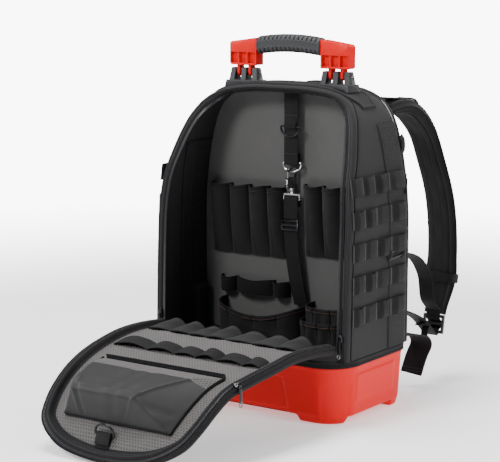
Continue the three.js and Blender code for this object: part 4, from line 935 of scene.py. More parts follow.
def archPlate(sections, bottom, count=181):
    # a plate in the outline's shape: rings at several places along y, from the rim to the middle of each face
    rings = []
    middle = np.array([0.0, 0.0, 0.5 * (bottom + body["top"])])
    for y, offset, share in sections:
        line, out = archLine(bottom, offset, count)
        ring = archPoint(line, y)
        floor = np.linspace(ring[-1], ring[0], 42)[1:-1]
        ring = np.vstack([ring, floor])
        ring = lerp(ring, middle + [0, y, 0], share)
        rings.append(ring)
    return np.array(rings)


# along y, out from the outline, and the share of the way to the middle of the face
boardSections = [(46.0, -5.6, 0.9), (46.0, -5.6, 0.03), (45.6, -5.4, 0.0), (43.6, -5.4, 0.0),
                 (43.0, -6.2, 0.0),
                 (42.9, -8.2, 0.0), (42.95, -9.4, 0.0), (43.1, -9.8, 0.0), (43.1, -12, 0.0), (43.1, -12, 0.3),
                 (43.1, -12, 0.6), (43.1, -12, 0.9)]
plate = archPlate(boardSections, body["boardFoot"])
shape("dividerBoard", plate, "boardCloth", sharp=40, replaces="divider_board", slot="lining_cloth",
      uv=np.concatenate([plate[..., [2, 0]], plate[:, :1, [2, 0]]], 1))

backSettings = {
    "face": 96.4, "middle": (200, 360), "steps": 110,
    # along y and out from the outline, round the rim
    "rim": [(92.3, -10), (92.3, -6), (93.4, -4.4), (95.6, -4.2), (96.9, -5.4), (97.2, -7.6), (96.6, -9.6)],
    # pads: x from, x to, z from, z to, how far they stand out
    "pads": [(14, 150, 330, 448, 9), (-150, -14, 330, 448, 9), (14, 156, 226, 322, 8),
             (-156, -14, 226, 322, 8), (14, 156, 112, 218, 10), (-156, -14, 112, 218, 10)],
}


def padHeight(x, z, s):
    # crowned pads with round corners: a product of two humps, each with flat middles
    high = np.zeros_like(x)
    for x0, x1, z0, z1, lift in s["pads"]:
        a = np.clip((x - x0) / (x1 - x0), 0, 1) * 2 - 1
        b = np.clip((z - z0) / (z1 - z0), 0, 1) * 2 - 1
        away = (abs(a) ** 5 + abs(b) ** 4.5) ** 0.2
        high = np.maximum(high, lift * np.clip(1 - away ** 3.2, 0, 1) ** 0.5)
    return high


def makeBack(s):
    # rings round the rim, then from the rim to a line up the middle, lifted by the pads
    rings = []
    for y, offset in s["rim"]:
        line, out = archLine(body["bottom"], offset, 241)
        ring = archPoint(line, y)
        rings.append(np.vstack([ring, np.linspace(ring[-1], ring[0], 82)[1:-1]]))
    rim = rings[-1]
    middle = np.column_stack([rim[:, 0] * 0.0, rim[:, 1], np.clip(rim[:, 2], *s["middle"])])
    for t in np.linspace(0.012, 1, s["steps"]):
        ring = lerp(rim, middle, t)
        ring[:, 1] = s["face"] + padHeight(ring[:, 0], ring[:, 2], s)
        rings.append(ring)
    return np.array(rings)


backGrid = makeBack(backSettings)
backPanel = shape("backPanel", backGrid, "backMesh", sharp=60, replaces="back_panel", slot="lining_cloth",
                  uv=np.concatenate([backGrid[..., [2, 0]], backGrid[:, :1, [2, 0]]], 1))
path, up = alongArch(-5.2, fromRear=4.6)
rod("backPiping", path, 1.8, up, sides=10, slot="lining_cloth")
print("divider and back made")


# Carry handle: plate, brackets, red ends and the ribbed grip

handleSettings = {
    "y": 33.0, "plateHalf": 27.0, "plateTaper": 8.5, "plateFrom": 446.0, "lift": 0.5, "border": 2.4,
    "sunk": 1.0, "pin": 491.0, "pinMiddle": 82.0,
    # along the pin from its middle, and its radius
    "pinRings": [(-25.4, 0.3), (-25.4, 1.6), (-25.0, 2.0), (25.0, 2.0), (25.4, 1.6), (25.4, 0.3)],
    "bracketSplay": (0.16, 0.3),
}


def makePlate(s):
    # the strip follows the outline; its two ends taper, and a low border runs round a recessed middle
    base, _ = archLine(body["bottom"], 0.35, 1201)
    base = evenly(base[base[:, 1] > s["plateFrom"]], 161)
    out = leftOf(base)
    d = lengths(base)
    end = np.minimum(d, d[-1] - d)
    half = s["plateHalf"] - s["plateTaper"] * smooth(26, 3, end)
    across = np.concatenate([[-1, -0.985, -0.95, -0.9, -0.87, -0.84, -0.8], np.linspace(-0.7, 0.7, 9),
                             [0.8, 0.84, 0.87, 0.9, 0.95, 0.985, 1]])
    y = s["y"] + across[None] * half[:, None]
    edge = np.minimum(half[:, None] - abs(across[None] * half[:, None]), end[:, None])
    border = smooth(0, 1.4, edge) * s["border"]
    sunk = smooth(4.6, 5.8, edge) * s["sunk"] * smooth(60, 56, end)[:, None]
    lift = s["lift"] + border - sunk
    return tuple(np.stack([base[:, None, 0] + out[:, None, 0] * high, y,
                           base[:, None, 1] + out[:, None, 1] * high], 2)
                 for high in (lift, 0 * lift))


plateTop, plateLow = makePlate(handleSettings)
sheetOf("handlePlate", plateTop, plateLow, "panelCloth", sharp=45, replaces="handle_plate",
        slot="dark_moulding")


def bevelled(name, node, look, width, segments=3, body="bag", angle=30, splay=None):
    # a copy of a hard solid with its triangles merged and its edges rounded; splay widens its foot in x and y
    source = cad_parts[node]
    mesh = bpy.data.meshes.new(name)
    work = bmesh.new()
    work.from_mesh(source.data)
    bmesh.ops.remove_doubles(work, verts=work.verts, dist=1e-5)
    bmesh.ops.dissolve_limit(work, angle_limit=0.02, verts=work.verts, edges=work.edges)
    work.to_mesh(mesh)
    work.free()
    if splay:
        places = np.empty(len(mesh.vertices) * 3)
        mesh.vertices.foreach_get("co", places)
        places = places.reshape(-1, 3)
        low, high = places.min(0), places.max(0)
        middle = (low + high) / 2
        down = (high[2] - places[:, 2:]) / (high[2] - low[2])
        places[:, :2] = middle[:2] + (places[:, :2] - middle[:2]) * (1 + np.array(splay) * (down - 0.5))
        mesh.vertices.foreach_set("co", places.ravel())
    mesh.materials.clear()
    mesh.materials.append(looks[look])
    piece = bpy.data.objects.new(name, mesh)
    bpy.context.scene.collection.objects.link(piece)
    rounding = piece.modifiers.new("roundedEdges", "BEVEL")
    rounding.width = width * mm
    rounding.segments = segments
    rounding.limit_method = "ANGLE"
    rounding.angle_limit = np.radians(angle)
    rounding.use_clamp_overlap = True
    rounding.harden_normals = True
    mesh.polygons.foreach_set("use_smooth", np.full(len(mesh.polygons), True))
    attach(piece, body)
    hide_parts(node)
    return piece


sides = ((-1, "left"), (1, "right"))
for side, name in sides:
    bevelled(f"handleBracket_{name}", f"handle_bracket_{name}", "blackMoulding", 0.8,
             splay=handleSettings["bracketSplay"])
    bevelled(f"handleEnd_{name}", f"handle_end_{name}", "redMoulding", 0.9, body="handle")
    pinAt = [side * handleSettings["pinMiddle"], handleSettings["y"], handleSettings["pin"]]
    pin = [np.column_stack([np.full(24, a), roundProfile(r, 24)]) + pinAt
           for a, r in handleSettings["pinRings"]]
    shape(f"handlePin_{name}", pin, "chrome", replaces=f"handle_pin_{name}")

gripSettings = {"reach": 56.6, "rise": 4.5, "middle": 532.5, "deep": 25.0, "high": 27.0, "ribs": 15,
                "cut": 2.2, "band": 0.9, "power": 0.82}


def makeGrip(s):
    # a bowed bar: two ribbed bands run along its upper and lower edge with a smooth band between
    u = np.linspace(-1, 1, 265)
    a = np.linspace(0, tau, 73)[:-1]
    shrink = 1 - 0.14 * np.clip((abs(u) - 0.955) / 0.045, 0, 1) ** 2
    rib = np.clip(1.35 * abs(np.sin(u * np.pi * s["ribs"] * 0.5 + np.pi / 2)) ** 0.7, 0, 1)
    band = smooth(0.28, 0.42, abs(np.sin(a)))
    step = smooth(0.2, 0.3, abs(np.sin(a)))
    depth = s["cut"] * band[None] * (1 - rib[:, None]) + s["band"] * (1 - step[None])
    depth = depth * smooth(0.99, 0.93, abs(u))[:, None]
    ry = s["deep"] / 2 * shrink[:, None] - depth
    rz = s["high"] / 2 * shrink[:, None] - depth
    ring = softRing(72, s["power"])
    y = handleSettings["y"] + ry * ring[None, :, 0]
    z = s["middle"] + s["rise"] * (1 - u[:, None] ** 2) + rz * ring[None, :, 1]
    return np.stack([np.broadcast_to(u[:, None] * s["reach"], y.shape), y, z], 2)


shape("handleGrip", makeGrip(gripSettings), "gripRubber", body="handle", replaces="handle_grip", sharp=50,
      slot="grip_moulding")
print("carry handle made")


# Flap: places on it are given along its length, across it and above its underside

flapSettings = {
    "half": 160.0, "hinge": (-92.0, 106.0), "reach": 316.0, "tip": -1.6, "thick": 7.0, "rim": 16.0,
    "line": [(0, 1), (0.152, 1.039), (0.31, 1.039), (0.437, 0.99), (0.576, 0.922), (0.703, 0.825),
             (0.791, 0.68), (0.867, 0.505), (0.937, 0.311), (0.975, 0.155), (1, 0)],
    "outline": [(0, 1), (0.28, 0.975), (0.39, 0.965), (0.52, 0.93), (0.63, 0.885), (0.72, 0.865),
                (0.81, 0.835), (0.89, 0.77), (0.945, 0.62), (0.98, 0.42), (1, 0)],
    # in from the edge and up from the underside, from the middle of the underside outwards and over the rim
    "section": [(30, 0.0), (22, 0.0), (14, 0.1), (8, 0.3), (4, 1.2), (1.6, 2.9), (0.5, 5.2), (0.1, 7.6),
                (0.2, 9.4),
                (0.9, 10.2), (1.0, 10.9), (0.3, 12.0), (0.6, 13.2), (1.8, 13.9), (2.9, 13.5), (3.4, 13.3),
                (8.6, 14.6), (9.2, 15.1), (10.3, 15.7), (12.2, 15.9), (14.0, 15.2), (15.2, 13.3),
                (15.9, 10.8), (16.6, 8.9), (17.8, 8.0), (19.2, 7.9), (20.2, 7.5), (22, 7.2), (26, 7.2),
                (30, 7.2)],
    "fan": 26, "lining": 29,
}
flapCurve = curveThrough([(flapSettings["hinge"][0] - flapSettings["reach"] * r,
                           lerp(flapSettings["tip"], flapSettings["hinge"][1], h))
                          for r, h in flapSettings["line"]], 1601)
flapWay = lengths(flapCurve)
flapLength = flapWay[-1]
flapTurn = np.gradient(flapCurve, axis=0)
flapTurn /= np.linalg.norm(flapTurn, axis=1)[:, None]


def flapPoint(along, across, above):
    # the place on the flap's curve, moved across, and above it along the curve's normal
    along, across, above = np.broadcast_arrays(np.asarray(along, float), across, above)
    s = np.clip(along, 0, flapLength)
    y, z, ty, tz = (np.interp(s, flapWay, c) for c in (*flapCurve.T, *flapTurn.T))
    return np.stack([across, y + above * tz + (along - s) * ty, z - above * ty + (along - s) * tz], -1)


def flapEdge(count=421):
    # the outline as a line of (along, across), from the left of the hinge round the tip to the right
    half = [(a * flapLength, -h * flapSettings["half"]) for a, h in flapSettings["outline"]]
    line = curveThrough(half + [(a, -c) for a, c in half[-2::-1]], count)
    way = np.gradient(line, axis=0)
    way /= np.linalg.norm(way, axis=1)[:, None]
    return line, np.stack([-way[:, 1], way[:, 0]], 1)


def flapInset(inset):
    # the outline moved inwards, but not past the hinge
    line, inwards = flapEdge()
    moved = line + inwards * inset
    moved[:, 0] = np.maximum(moved[:, 0], 0.0)
    return moved


def flapSwell(along, across):
    # the padded lining rises and falls a little
    broad = 0.8 * np.sin(along / 31.0 + across / 47.0) * np.cos(across / 39.0)
    return broad + 0.5 * np.sin(along / 17.0 - across / 23.0)


def makeFlap(s):
    # lines from the middle of the underside outwards, over the rim by the section, and in over the lining
    inner = flapInset(s["section"][0][0])
    core = flapLength - s["half"] / 2
    middle = np.stack([np.minimum(inner[:, 0], core), np.zeros(len(inner))], 1)
    lines = [(lerp(inner, middle, t), 0.0) for t in (1.0, 0.8, 0.6, 0.4, 0.2)]
    lines += [(flapInset(inset), above) for inset, above in s["section"]]
    for t in np.linspace(0, 1, s["fan"])[1:]:
        q = lerp(inner, middle, t)
        lines.append((q, s["thick"] + 0.2 + flapSwell(q[:, 0], q[:, 1]) * smooth(0, 0.16, t)))
    return np.stack([flapPoint(q[:, 0], q[:, 1], above) for q, above in lines], 1)


def makeFlapPiece(s):
    # the lines joined into faces, with the lining's faces in mesh and the two hinge ends closed
    grid = makeFlap(s)
    rows, columns = grid.shape[:2]
    r, c = gridCorners(rows, columns, False, False)
    faces = (r * columns + c).tolist()
    # the map on the lining lies flat: along and across
    top = gridMap(grid, False, False)
    line = np.stack([grid[..., 1] * -1.35, grid[..., 0]], 2)
    inner = np.arange(columns) >= columns - s["lining"] - 1
    uv = np.where(inner[None, :, None], line, top)
    corners = uv[r, c].reshape(-1, 2)
    look = (c[:, 0] >= columns - s["lining"]).astype(int)
    points = grid.reshape(-1, 3)
    for row, turn in ((0, 1), (rows - 1, -1)):
        faces.append((row * columns + np.arange(columns))[::turn].tolist())
        corners = np.vstack([corners, top[row][::turn]])
        look = np.append(look, 0)
    if signedVolume(points, [f for f in faces if len(f) == 4]) < 0:
        faces, corners = turnedOver(faces, corners)
    piece = makePiece("flapPanel", points, faces, ["edgeCloth", "liningMesh"], corners, replaces="flap_panel",
                      slot="body_cloth", lookOfFace=look, sharp=45)
    return piece


makeFlapPiece(flapSettings)


def onFlap(along, across, above):
    # places above the flap, and the direction away from it there
    low = flapPoint(along, across, above)
    return low, flapPoint(along, across, np.asarray(above) + 1.0) - low


def flapLineAt(inset, above):
    # a line at a distance from the flap's edge, and the direction away from the flap
    return onFlap(*flapInset(inset).T, above)


zipTeeth("flapZipTeeth", *flapLineAt(6.0, 14.5))
path, up = flapLineAt(2.0, 13.6)
rod("flapPiping", path, 1.1, up, slot="body_cloth")
stitches("flapStitches", *flapLineAt(21.0, 7.5), pitch=4.4, slot="body_cloth")
stitches("flapRimStitches", *flapLineAt(12.2, 15.95), pitch=4.4, slot="body_cloth")
print("flap made")


# Tool loops by the hinge and the elastic across the flap

# places along the flap and across it as shares of its length and half width, the rest in millimetres
bandSettings = {
    "toolLoops": {"from": 6.0 / flapLength, "width": 43.0,
                  "seams": (-0.86, -0.62, -0.4, -0.2, 0.02, 0.3, 0.56, 0.78),
                  "lift": 13.0, "lean": 0.74, "sag": 7.0, "spill": 2.0, "cloth": 1.5},
    "elastic": {"from": 0.33, "width": 24.0, "seams": (-0.8, -0.42, -0.12, 0.12, 0.34, 0.62, 0.8),
                "lift": 7.8, "lean": 0.15, "sag": 0.0, "spill": 0.0, "cloth": 1.3},
}


def between(seams, t):
    # places from seam to seam: the place, the share of its own stretch and the stretch's number
    spans = len(seams) - 1
    places = np.append((seams[:-1, None] + np.diff(seams)[:, None] * t).ravel(), seams[-1])
    return places, np.append(np.tile(t, spans), 0.0), np.append(np.repeat(np.arange(spans), len(t)), 0)


def loopBand(s, rows, perLoop=17):
    # between two seams the cloth stands up in an arch, and its far edge bows towards the tip
    seams = np.array(s["seams"]) * flapSettings["half"]
    across, turn, which = between(seams, np.linspace(0, 1, perLoop)[:-1])
    rise = np.sin(np.pi * turn) ** 0.85 * (0.8 + 0.2 * np.sin(2.3 * which + 0.6))
    r = np.linspace(0, 1, rows)[:, None]
    bow = rise[None] * (s["sag"] * r ** 2 - s["spill"] * (1 - r) ** 3)
    along = s["from"] * flapLength + r * s["width"] + bow
    high = flapSettings["thick"] + 0.7 + s["lift"] * rise[None] * (1 - s["lean"] * r ** 1.5)
    high = high + 0.5 * np.sin(r * 9 + turn[None] * 7) * rise[None]
    outer = flapPoint(along, across[None] + 0 * r, high + s["cloth"])
    inner = flapPoint(along, across[None] + 0 * r, high)
    return outer, inner, seams


outer, inner, seams = loopBand(bandSettings["toolLoops"], 15)
piece = sheetOf("flapToolLoops", outer, inner, "liningCloth", sharp=60, replaces="flap_tool_loops")
declareSheet(outer)
for edge, name in ((0, "Mouth"), (-1, "Foot")):
    rod(f"toolLoop{name}Binding", lerp(outer[edge], inner[edge], 0.5), 1.25, (0, 1, 0.2), sides=10,
        slot="lining_cloth")
for k, across in enumerate(seams):
    line = flapPoint(np.linspace(8, 47, 20), across, flapSettings["thick"] + 2.25)
    stitches(f"toolLoopSeam_{k + 1}", line, (0, 0, 1), pitch=2.6, long=2.0, slot="lining_cloth")

outer, inner, seams = loopBand(bandSettings["elastic"], 7)
piece = sheetOf("flapElastic", outer, inner, "webbing", sharp=60, replaces="flap_elastic")
declareSheet(outer)
start = bandSettings["elastic"]["from"] * flapLength
for k, across in enumerate(seams):
    for letter, shift in (("a", -1.2), ("b", 1.2)):
        line = flapPoint(np.linspace(start + 1, start + 23, 12), across + shift, flapSettings["thick"] + 2.05)
        stitches(f"elasticTack_{k + 1}_{letter}", line, (0, 0, 1), pitch=1.9, long=1.8)


# Bellows pocket near the tip: a height field over the lining, with a zip along its upper edge

pocketSettings = {
    "from": 0.535, "to": 0.85, "half": 0.66, "narrow": 0.14, "high": 33.0,
    "ridge": 0.7, "front": 0.2, "left": 0.17, "right": 0.62, "soft": 0.045, "meshRows": 24, "zipBefore": 4.5,
}


def makePocketOnFlap(s):
    # a hipped roof: the lowest of a ramp from the zip, a steep front and two gussets, blended softly by the
    # logarithm of a sum of exponentials; on it lie a ridge, creases, sags and ripples, as humps and sines
    r = np.linspace(0, 1, 81)[:, None]
    c = np.linspace(-1, 1, 121)[None]
    along = lerp(s["from"], s["to"], r) * flapLength + 0 * c
    across = c * s["half"] * (1 - s["narrow"] * r) * flapSettings["half"]
    planes = [r / s["ridge"], (1 - r) / s["front"], (c + 1) / s["left"] + 0 * r, (1 - c) / s["right"] + 0 * r]
    planes = [np.broadcast_to(p, along.shape) for p in planes] + [np.full(along.shape, 1.0)]
    k = s["soft"]
    rise = -k * np.log(sum(np.exp(-p / k) for p in planes)) + k * 0.55 * smooth(0, 0.3, r * (1 - r))
    rise = np.clip(rise, 0, 1)
    raised = smooth(0.05, 0.25, rise)
    ridge = np.exp(-((r - s["ridge"] - 0.02) / 0.03) ** 2) * smooth(-0.85, -0.6, c) * smooth(0.5, 0.3, c)
    crease = np.exp(-((c - 0.4 - 0.86 * (s["ridge"] - r)) / 0.03) ** 2)
    crease = crease * smooth(0.12, 0.3, r) * smooth(1.0, 0.85, r)
    sags = -3.2 * np.exp(-(((c + 0.1) / 0.42) ** 2 + ((r - 0.45) / 0.17) ** 2))
    dent = -2.6 * np.exp(-(((c + 0.15) / 0.5) ** 2 + ((r - 0.86) / 0.05) ** 2))
    ripples = 0.55 * np.sin(13 * c + 7 * r + 2.5 * np.sin(5 * c)) * smooth(0.1, 0.5, rise)
    corner = 1.6 * np.exp(-((c + 0.84 - 0.5 * (r - 0.7)) / 0.03) ** 2) * smooth(0.3, 0.6, r)
    corner = corner - 1.4 * np.exp(-((c + 0.76 - 0.5 * (r - 0.7)) / 0.035) ** 2) * smooth(0.35, 0.6, r)
    slack = 0.7 * np.sin(26 * r + 4 * c) * smooth(0.72, 0.8, r) * raised
    folds = 1.6 * ridge + 2.0 * crease + sags + dent + ripples + corner + slack
    lift = np.maximum(s["high"] * rise + folds * raised, 0)
    seat = flapSettings["thick"] + 0.9
    outer = flapPoint(along, across, seat + lift + 1.4)
    inner = flapPoint(along, across, seat + np.maximum(lift - 0.4, 0))
    return outer, inner


outer, inner = makePocketOnFlap(pocketSettings)
rowOfFace = np.repeat(np.arange(outer.shape[0] - 1), outer.shape[1] * 2)
piece = sheetOf("flapPocket", outer, inner, ["pocketCloth", "liningMesh"], sharp=50, replaces="flap_pocket",
                slot="lining_cloth", lookOfFace=(rowOfFace < pocketSettings["meshRows"]).astype(int))
declareSheet(outer)


start = pocketSettings["from"] * flapLength
stop = pocketSettings["to"] * flapLength
seat = flapSettings["thick"]
mouthHalf = pocketSettings["half"] * flapSettings["half"]
wide = np.linspace(-0.98, 0.98, 80) * mouthHalf
zipAt = start - pocketSettings["zipBefore"] + 0 * wide
path, up = onFlap(zipAt, wide, seat + 1.7)
webbing("pocketZipTape", path, 11, 0.8, up, "liningCloth", slot="lining_cloth")
zipTeeth("pocketZipTeeth", *onFlap(zipAt, wide, seat + 2.6), slot="lining_cloth")
for letter, shift in (("a", -9.0), ("b", 0.4)):
    stitches(f"pocketZipStitches_{letter}", *onFlap(start + shift + 0 * wide, wide, seat + 2.3), pitch=4.2,
             slot="lining_cloth")
# binding round the foot of the pocket
r = np.linspace(0, 1, 60)
footHalf = mouthHalf * (1 - pocketSettings["narrow"])
leftSide = np.stack([lerp(start, stop, r), lerp(-mouthHalf, -footHalf, r)], 1)
foot = np.stack([np.full(60, stop), np.linspace(-footHalf, footHalf, 62)[1:-1]], 1)
line = evenly(np.vstack([leftSide, foot, (leftSide * [1, -1])[::-1]]), 240)
path, up = onFlap(*line.T, seat + 1.6)
webbing("pocketFootBinding", path, 7, 1.7, up, "edgeCloth", slot="lining_cloth")
stitches("pocketFootStitches", *onFlap(*line.T, seat + 2.55), pitch=4.2, slot="lining_cloth")


# Ring and tab at the tip, and the zip pulls

tabSettings = {"along": 0.9, "across": -8.0, "width": 24.0, "wire": 1.6, "web": 1.6}
foldOut = (tabSettings["wire"] + 0.3 + 0.8) * 1.08
tabStart = tabSettings["along"] * flapLength
tabSeat = seat + 0.3 + 0.8 + 0.3


def oval(centre, first, second):
    # a closed ellipse: the centre, plus cosine times one half axis, plus sine times the other
    turn = (np.arange(32) * tau / 32)[:, None]
    return centre + np.cos(turn) * first + np.sin(turn) * second


def dRing(name, centre, first, second, width, high, wire, look, slot, replaces):
    # a bar and an arc: half a circle of its own width and height, closed by a straight line
    first, second = (np.asarray(v, float) / np.linalg.norm(v) for v in (first, second))
    a = np.linspace(0, np.pi, 49)
    bow = np.stack([np.cos(a) * width / 2, np.sin(a) ** 0.8 * high], 1)
    bar = np.stack([np.linspace(-width / 2 + 1.2, width / 2 - 1.2, 25), np.full(25, -0.3)], 1)
    loop = np.vstack([bow, bar])
    path = np.asarray(centre, float) + loop[:, :1] * first + loop[:, 1:] * second
    return rod(name, path, wire, np.cross(first, second), look, sides=14, closed=True, replaces=replaces,
               slot=slot, sharp=None)


t = tabSettings
angle = np.linspace(0, np.pi, 13)[1:]
down = np.stack([np.linspace(tabStart + 17, tabStart + 0.1, 14), np.full(14, tabSeat)], 1)
turned = np.stack([tabStart - foldOut * np.sin(angle), tabSeat + foldOut * (1 - np.cos(angle))], 1)
back = np.stack([np.linspace(tabStart + 1, tabStart + 13, 8),
                 np.linspace(tabSeat + 2 * foldOut, tabSeat + 2.3, 8)], 1)
tabPlaces = np.vstack([down, turned, back])
webbing("flapTab", flapPoint(tabPlaces[:, 0], t["across"], tabPlaces[:, 1]), t["width"], t["web"],
        replaces="flap_tab")
p = flapPoint(tabStart, t["across"], tabSeat + foldOut)
toUp = flapPoint(tabStart, t["across"], tabSeat + foldOut + 10) - p
toBack = flapPoint(tabStart - 10, t["across"], tabSeat + foldOut) - p
dRing("flapRing", p, (1, 0, 0), toBack * 0.06 + toUp * 0.08, 32, 15, t["wire"], "darkMetal", "dark_metal",
      "flap_ring")

hingeLine = curveThrough([(0, -92.9, 95.9), (0, -94.6, 101.5), (0, -93.4, 106.5)], 14)
webbing("hingeStrip", hingeLine, 219, 1.3, look="shellCloth", slot="body_cloth", replaces="hinge_strip")


def slider(name, at, along, up, look="darkMetal", long=26.0, replaces=(), bright=False):
    # a zip slider: a domed body with a bridge, and a pull plate with a round end that hangs on it
    along, up = (np.asarray(v, float) / np.linalg.norm(v) for v in (along, up))
    over = np.cross(up, along)
    at = np.asarray(at, float)
    u = np.linspace(-1, 1, 15)
    cap = (1 - abs(u) ** 6) ** 0.5
    wide = (4.0 - 1.1 * smooth(0.1, 1.0, u)) * np.maximum(cap, 0.35)
    grid = blockAlong(at, 5.5, along, over, up, softRing(24, 0.6), wide, 2.6 * np.maximum(cap, 0.4))
    shape(f"{name}Body", grid, look, slot="dark_metal")
    hang = at + up * 3.4 - along * 2.0
    t = np.linspace(0, 1, 25)
    bend = hang - along[None] * (t * long)[:, None] + up * (0.6 * np.sin(np.pi * t))[:, None]
    half = 2.3 + 1.1 * smooth(0.55, 0.75, t)
    half = half * np.sqrt(np.clip(1 - ((t - 0.87) / 0.13).clip(0, 1) ** 2, 0.02, 1)) * smooth(-0.08, 0.05, t)
    size = np.stack([half / 3.4, np.ones(25)], 1)
    webbing(f"{name}Pull", bend, 6.8, 1.5, over, look, "dark_metal", size=size, replaces=replaces)
    rod(f"{name}Eye", oval(bend[-4] + up * 0.9, over * 2.1, along * 2.6), 0.75, up,
        "greyMetal" if bright else look, closed=True, slot="dark_metal", sharp=None)


z = 129.3
for side, name in sides:
    slider(f"zip_{name}", (side * 161.5, float(mouthAt(z)) - 1.8, z), (0, 0, 1), (0, -1, 0), long=27,
           replaces=f"zip_pull_{name}", bright=side > 0)
edgeLine, _ = flapLineAt(5.0, 15.4)
near = edgeLine[np.argmin(np.linalg.norm(edgeLine - [134, -300, 91], axis=1))]
slider("zip_flap", near, (-0.15, 1, 0.25), (0.75, -0.1, 0.6), long=4, bright=True)
hangLine = curveThrough([near + [3, 0, 1], near + [7.5, -1, -2], near + [8.5, -1, -9], near + [8.5, -1, -24]],
                        20)
webbing("zip_flapHanger", hangLine, 6.4, 1.4, (0, 1, 0), "darkMetal", "dark_metal")
loop = oval(hangLine[-1] + [0, 0, -1.5], np.array([0, 3.0, 0]), np.array([0, 0, 4.2]))
rod("zip_flapEye", loop, 0.8, (1, 0, 0), "greyMetal", closed=True, slot="dark_metal", sharp=None)
print("flap pockets, loops and pulls made")


# Storage on the divider board: sleeves, plier loops and deep pockets

boardFront = 43.0
sleeveSettings = {
    "left": {"seams": (-0.87, -0.66, -0.45, -0.25, -0.085), "top": 318.0, "length": 108.0, "depth": 22.0,
             "closing": 0.85, "cloth": 1.5},
    "right": {"seams": (0.135, 0.325, 0.53), "top": 326.0, "length": 108.0, "depth": 22.0,
              "closing": 0.85, "cloth": 1.5},
    "pliers": {"seams": (-0.76, -0.6, -0.19, -0.03), "top": 174.0, "length": 24.0, "depth": 20.0,
               "closing": 0.15, "cloth": 1.5},
}


def sleeveGrid(s, rows=34, perSleeve=21):
    # half ellipses between the seams; they narrow downwards, and the cloth ripples a little
    seams = np.array(s["seams"]) * body["width"] / 2
    x, turn, which = between(seams, (1 - np.cos(np.linspace(0, np.pi, perSleeve)))[:-1] / 2)
    r = np.linspace(0, 1, rows)[:, None]
    rise = np.sqrt(np.clip(1 - (2 * turn - 1) ** 2, 0, 1))[None]
    dents = 1.6 * np.exp(-((r - 0.42 - 0.09 * np.sin(which * 2.1)) / 0.05) ** 2) * np.sin(np.pi * turn) ** 2
    folds = np.exp(-((turn - 0.36 - 0.1 * np.sin(which * 1.7 + 4 * r)) / 0.07) ** 2)
    dents = dents + 1.1 * folds * smooth(0.1, 0.5, r)
    out = s["depth"] * rise * (1 - s["closing"] * r * r) - dents * rise * (s["length"] > 50)
    mouth = 1.2 * np.sin(np.pi * turn)[None] * (1 - smooth(0, 0.1, r))
    z = s["top"] - s["length"] * r + 1.5 * np.sin(2 * np.pi * turn + which)[None] * (1 - r) * rise
    seat = boardFront - 0.5
    y = seat - np.maximum(out, 0) - mouth * 0.6
    x = np.broadcast_to(x, y.shape)
    return np.stack([x, y - s["cloth"], z], 2), np.stack([x, np.minimum(y, seat + 0.3), z], 2), seams


def bindEdge(name, front, back, row, width=9.0, thread="darkThread"):
    # tape folded over an edge, with a thread line along it
    down = np.array([0, 0, -1.0])
    way = lerp(front[row], back[row], 0.5)
    away = front[row] - back[row]
    away /= np.maximum(np.linalg.norm(away, axis=1), 1e-6)[:, None]
    centre = way + down * (width / 2 - 1.0)
    thick = np.linalg.norm(front[row] - back[row], axis=1).mean() + 1.0
    profile = flatProfile(width, thick)
    grid = centre[:, None] + down * profile[None, :, :1] + away[:, None] * profile[None, :, 1:]
    d = lengths(way)
    uv = np.stack(np.broadcast_arrays(d[:, None], np.append(profile[:, 0], profile[0, 0])[None]), 2)
    shape(f"{name}Binding", grid, "edgeCloth", uv=uv, slot="lining_cloth")
    line = centre + down * (width / 2 - 2.2) + away * (thick / 2 + 0.02)
    stitches(f"{name}Thread_1", line, away, look=thread, pitch=3.6, long=2.9, wide=0.6, slot="lining_cloth")


for key, name, node in (("left", "sleevesLeft", "sleeves_left"), ("right", "sleevesRight", "sleeves_right")):
    front, back, seams = sleeveGrid(sleeveSettings[key])
    piece = sheetOf(name, front, back, "liningCloth", sharp=60, replaces=node)
    declareSheet(front)
    bindEdge(name, front, back, 0)
    for k, x in enumerate(seams):
        heights = sleeveSettings[key]["top"] + np.linspace(-3, -104, 40)
        line = np.stack([np.full(40, x), np.full(40, boardFront - 2.1), heights], 1)
        stitches(f"{name}Seam_{k + 1}", line, (0, -1, 0), pitch=3.2, slot="lining_cloth")
front, back, seams = sleeveGrid(sleeveSettings["pliers"], 9)
uv = gridMap(front, False, False)[..., ::-1] - [0, 12.0]
sheetOf("plierLoops", front, back, "webbing", uv, sharp=60, replaces="plier_loops")

pocketShapes = {
    "pocketLeft": {"x": (-125.2, 26.6), "top": 140.0, "dip": 18.0, "depth": 40.0, "node": "pocket_left",
                   "pleats": (0.2, 0.5, 0.79)},
    "pocketRightUpper": {"x": (36.6, 107.5), "top": 148.0, "dip": 3.0, "depth": 34.0,
                         "node": "pocket_right_upper", "pleats": (0.3, 0.72)},
    "pocketRightLower": {"x": (32.6, 111.5), "top": 128.0, "dip": 3.0, "depth": 46.0,
                         "node": "pocket_right_lower", "pleats": (0.22, 0.5, 0.8)},
}


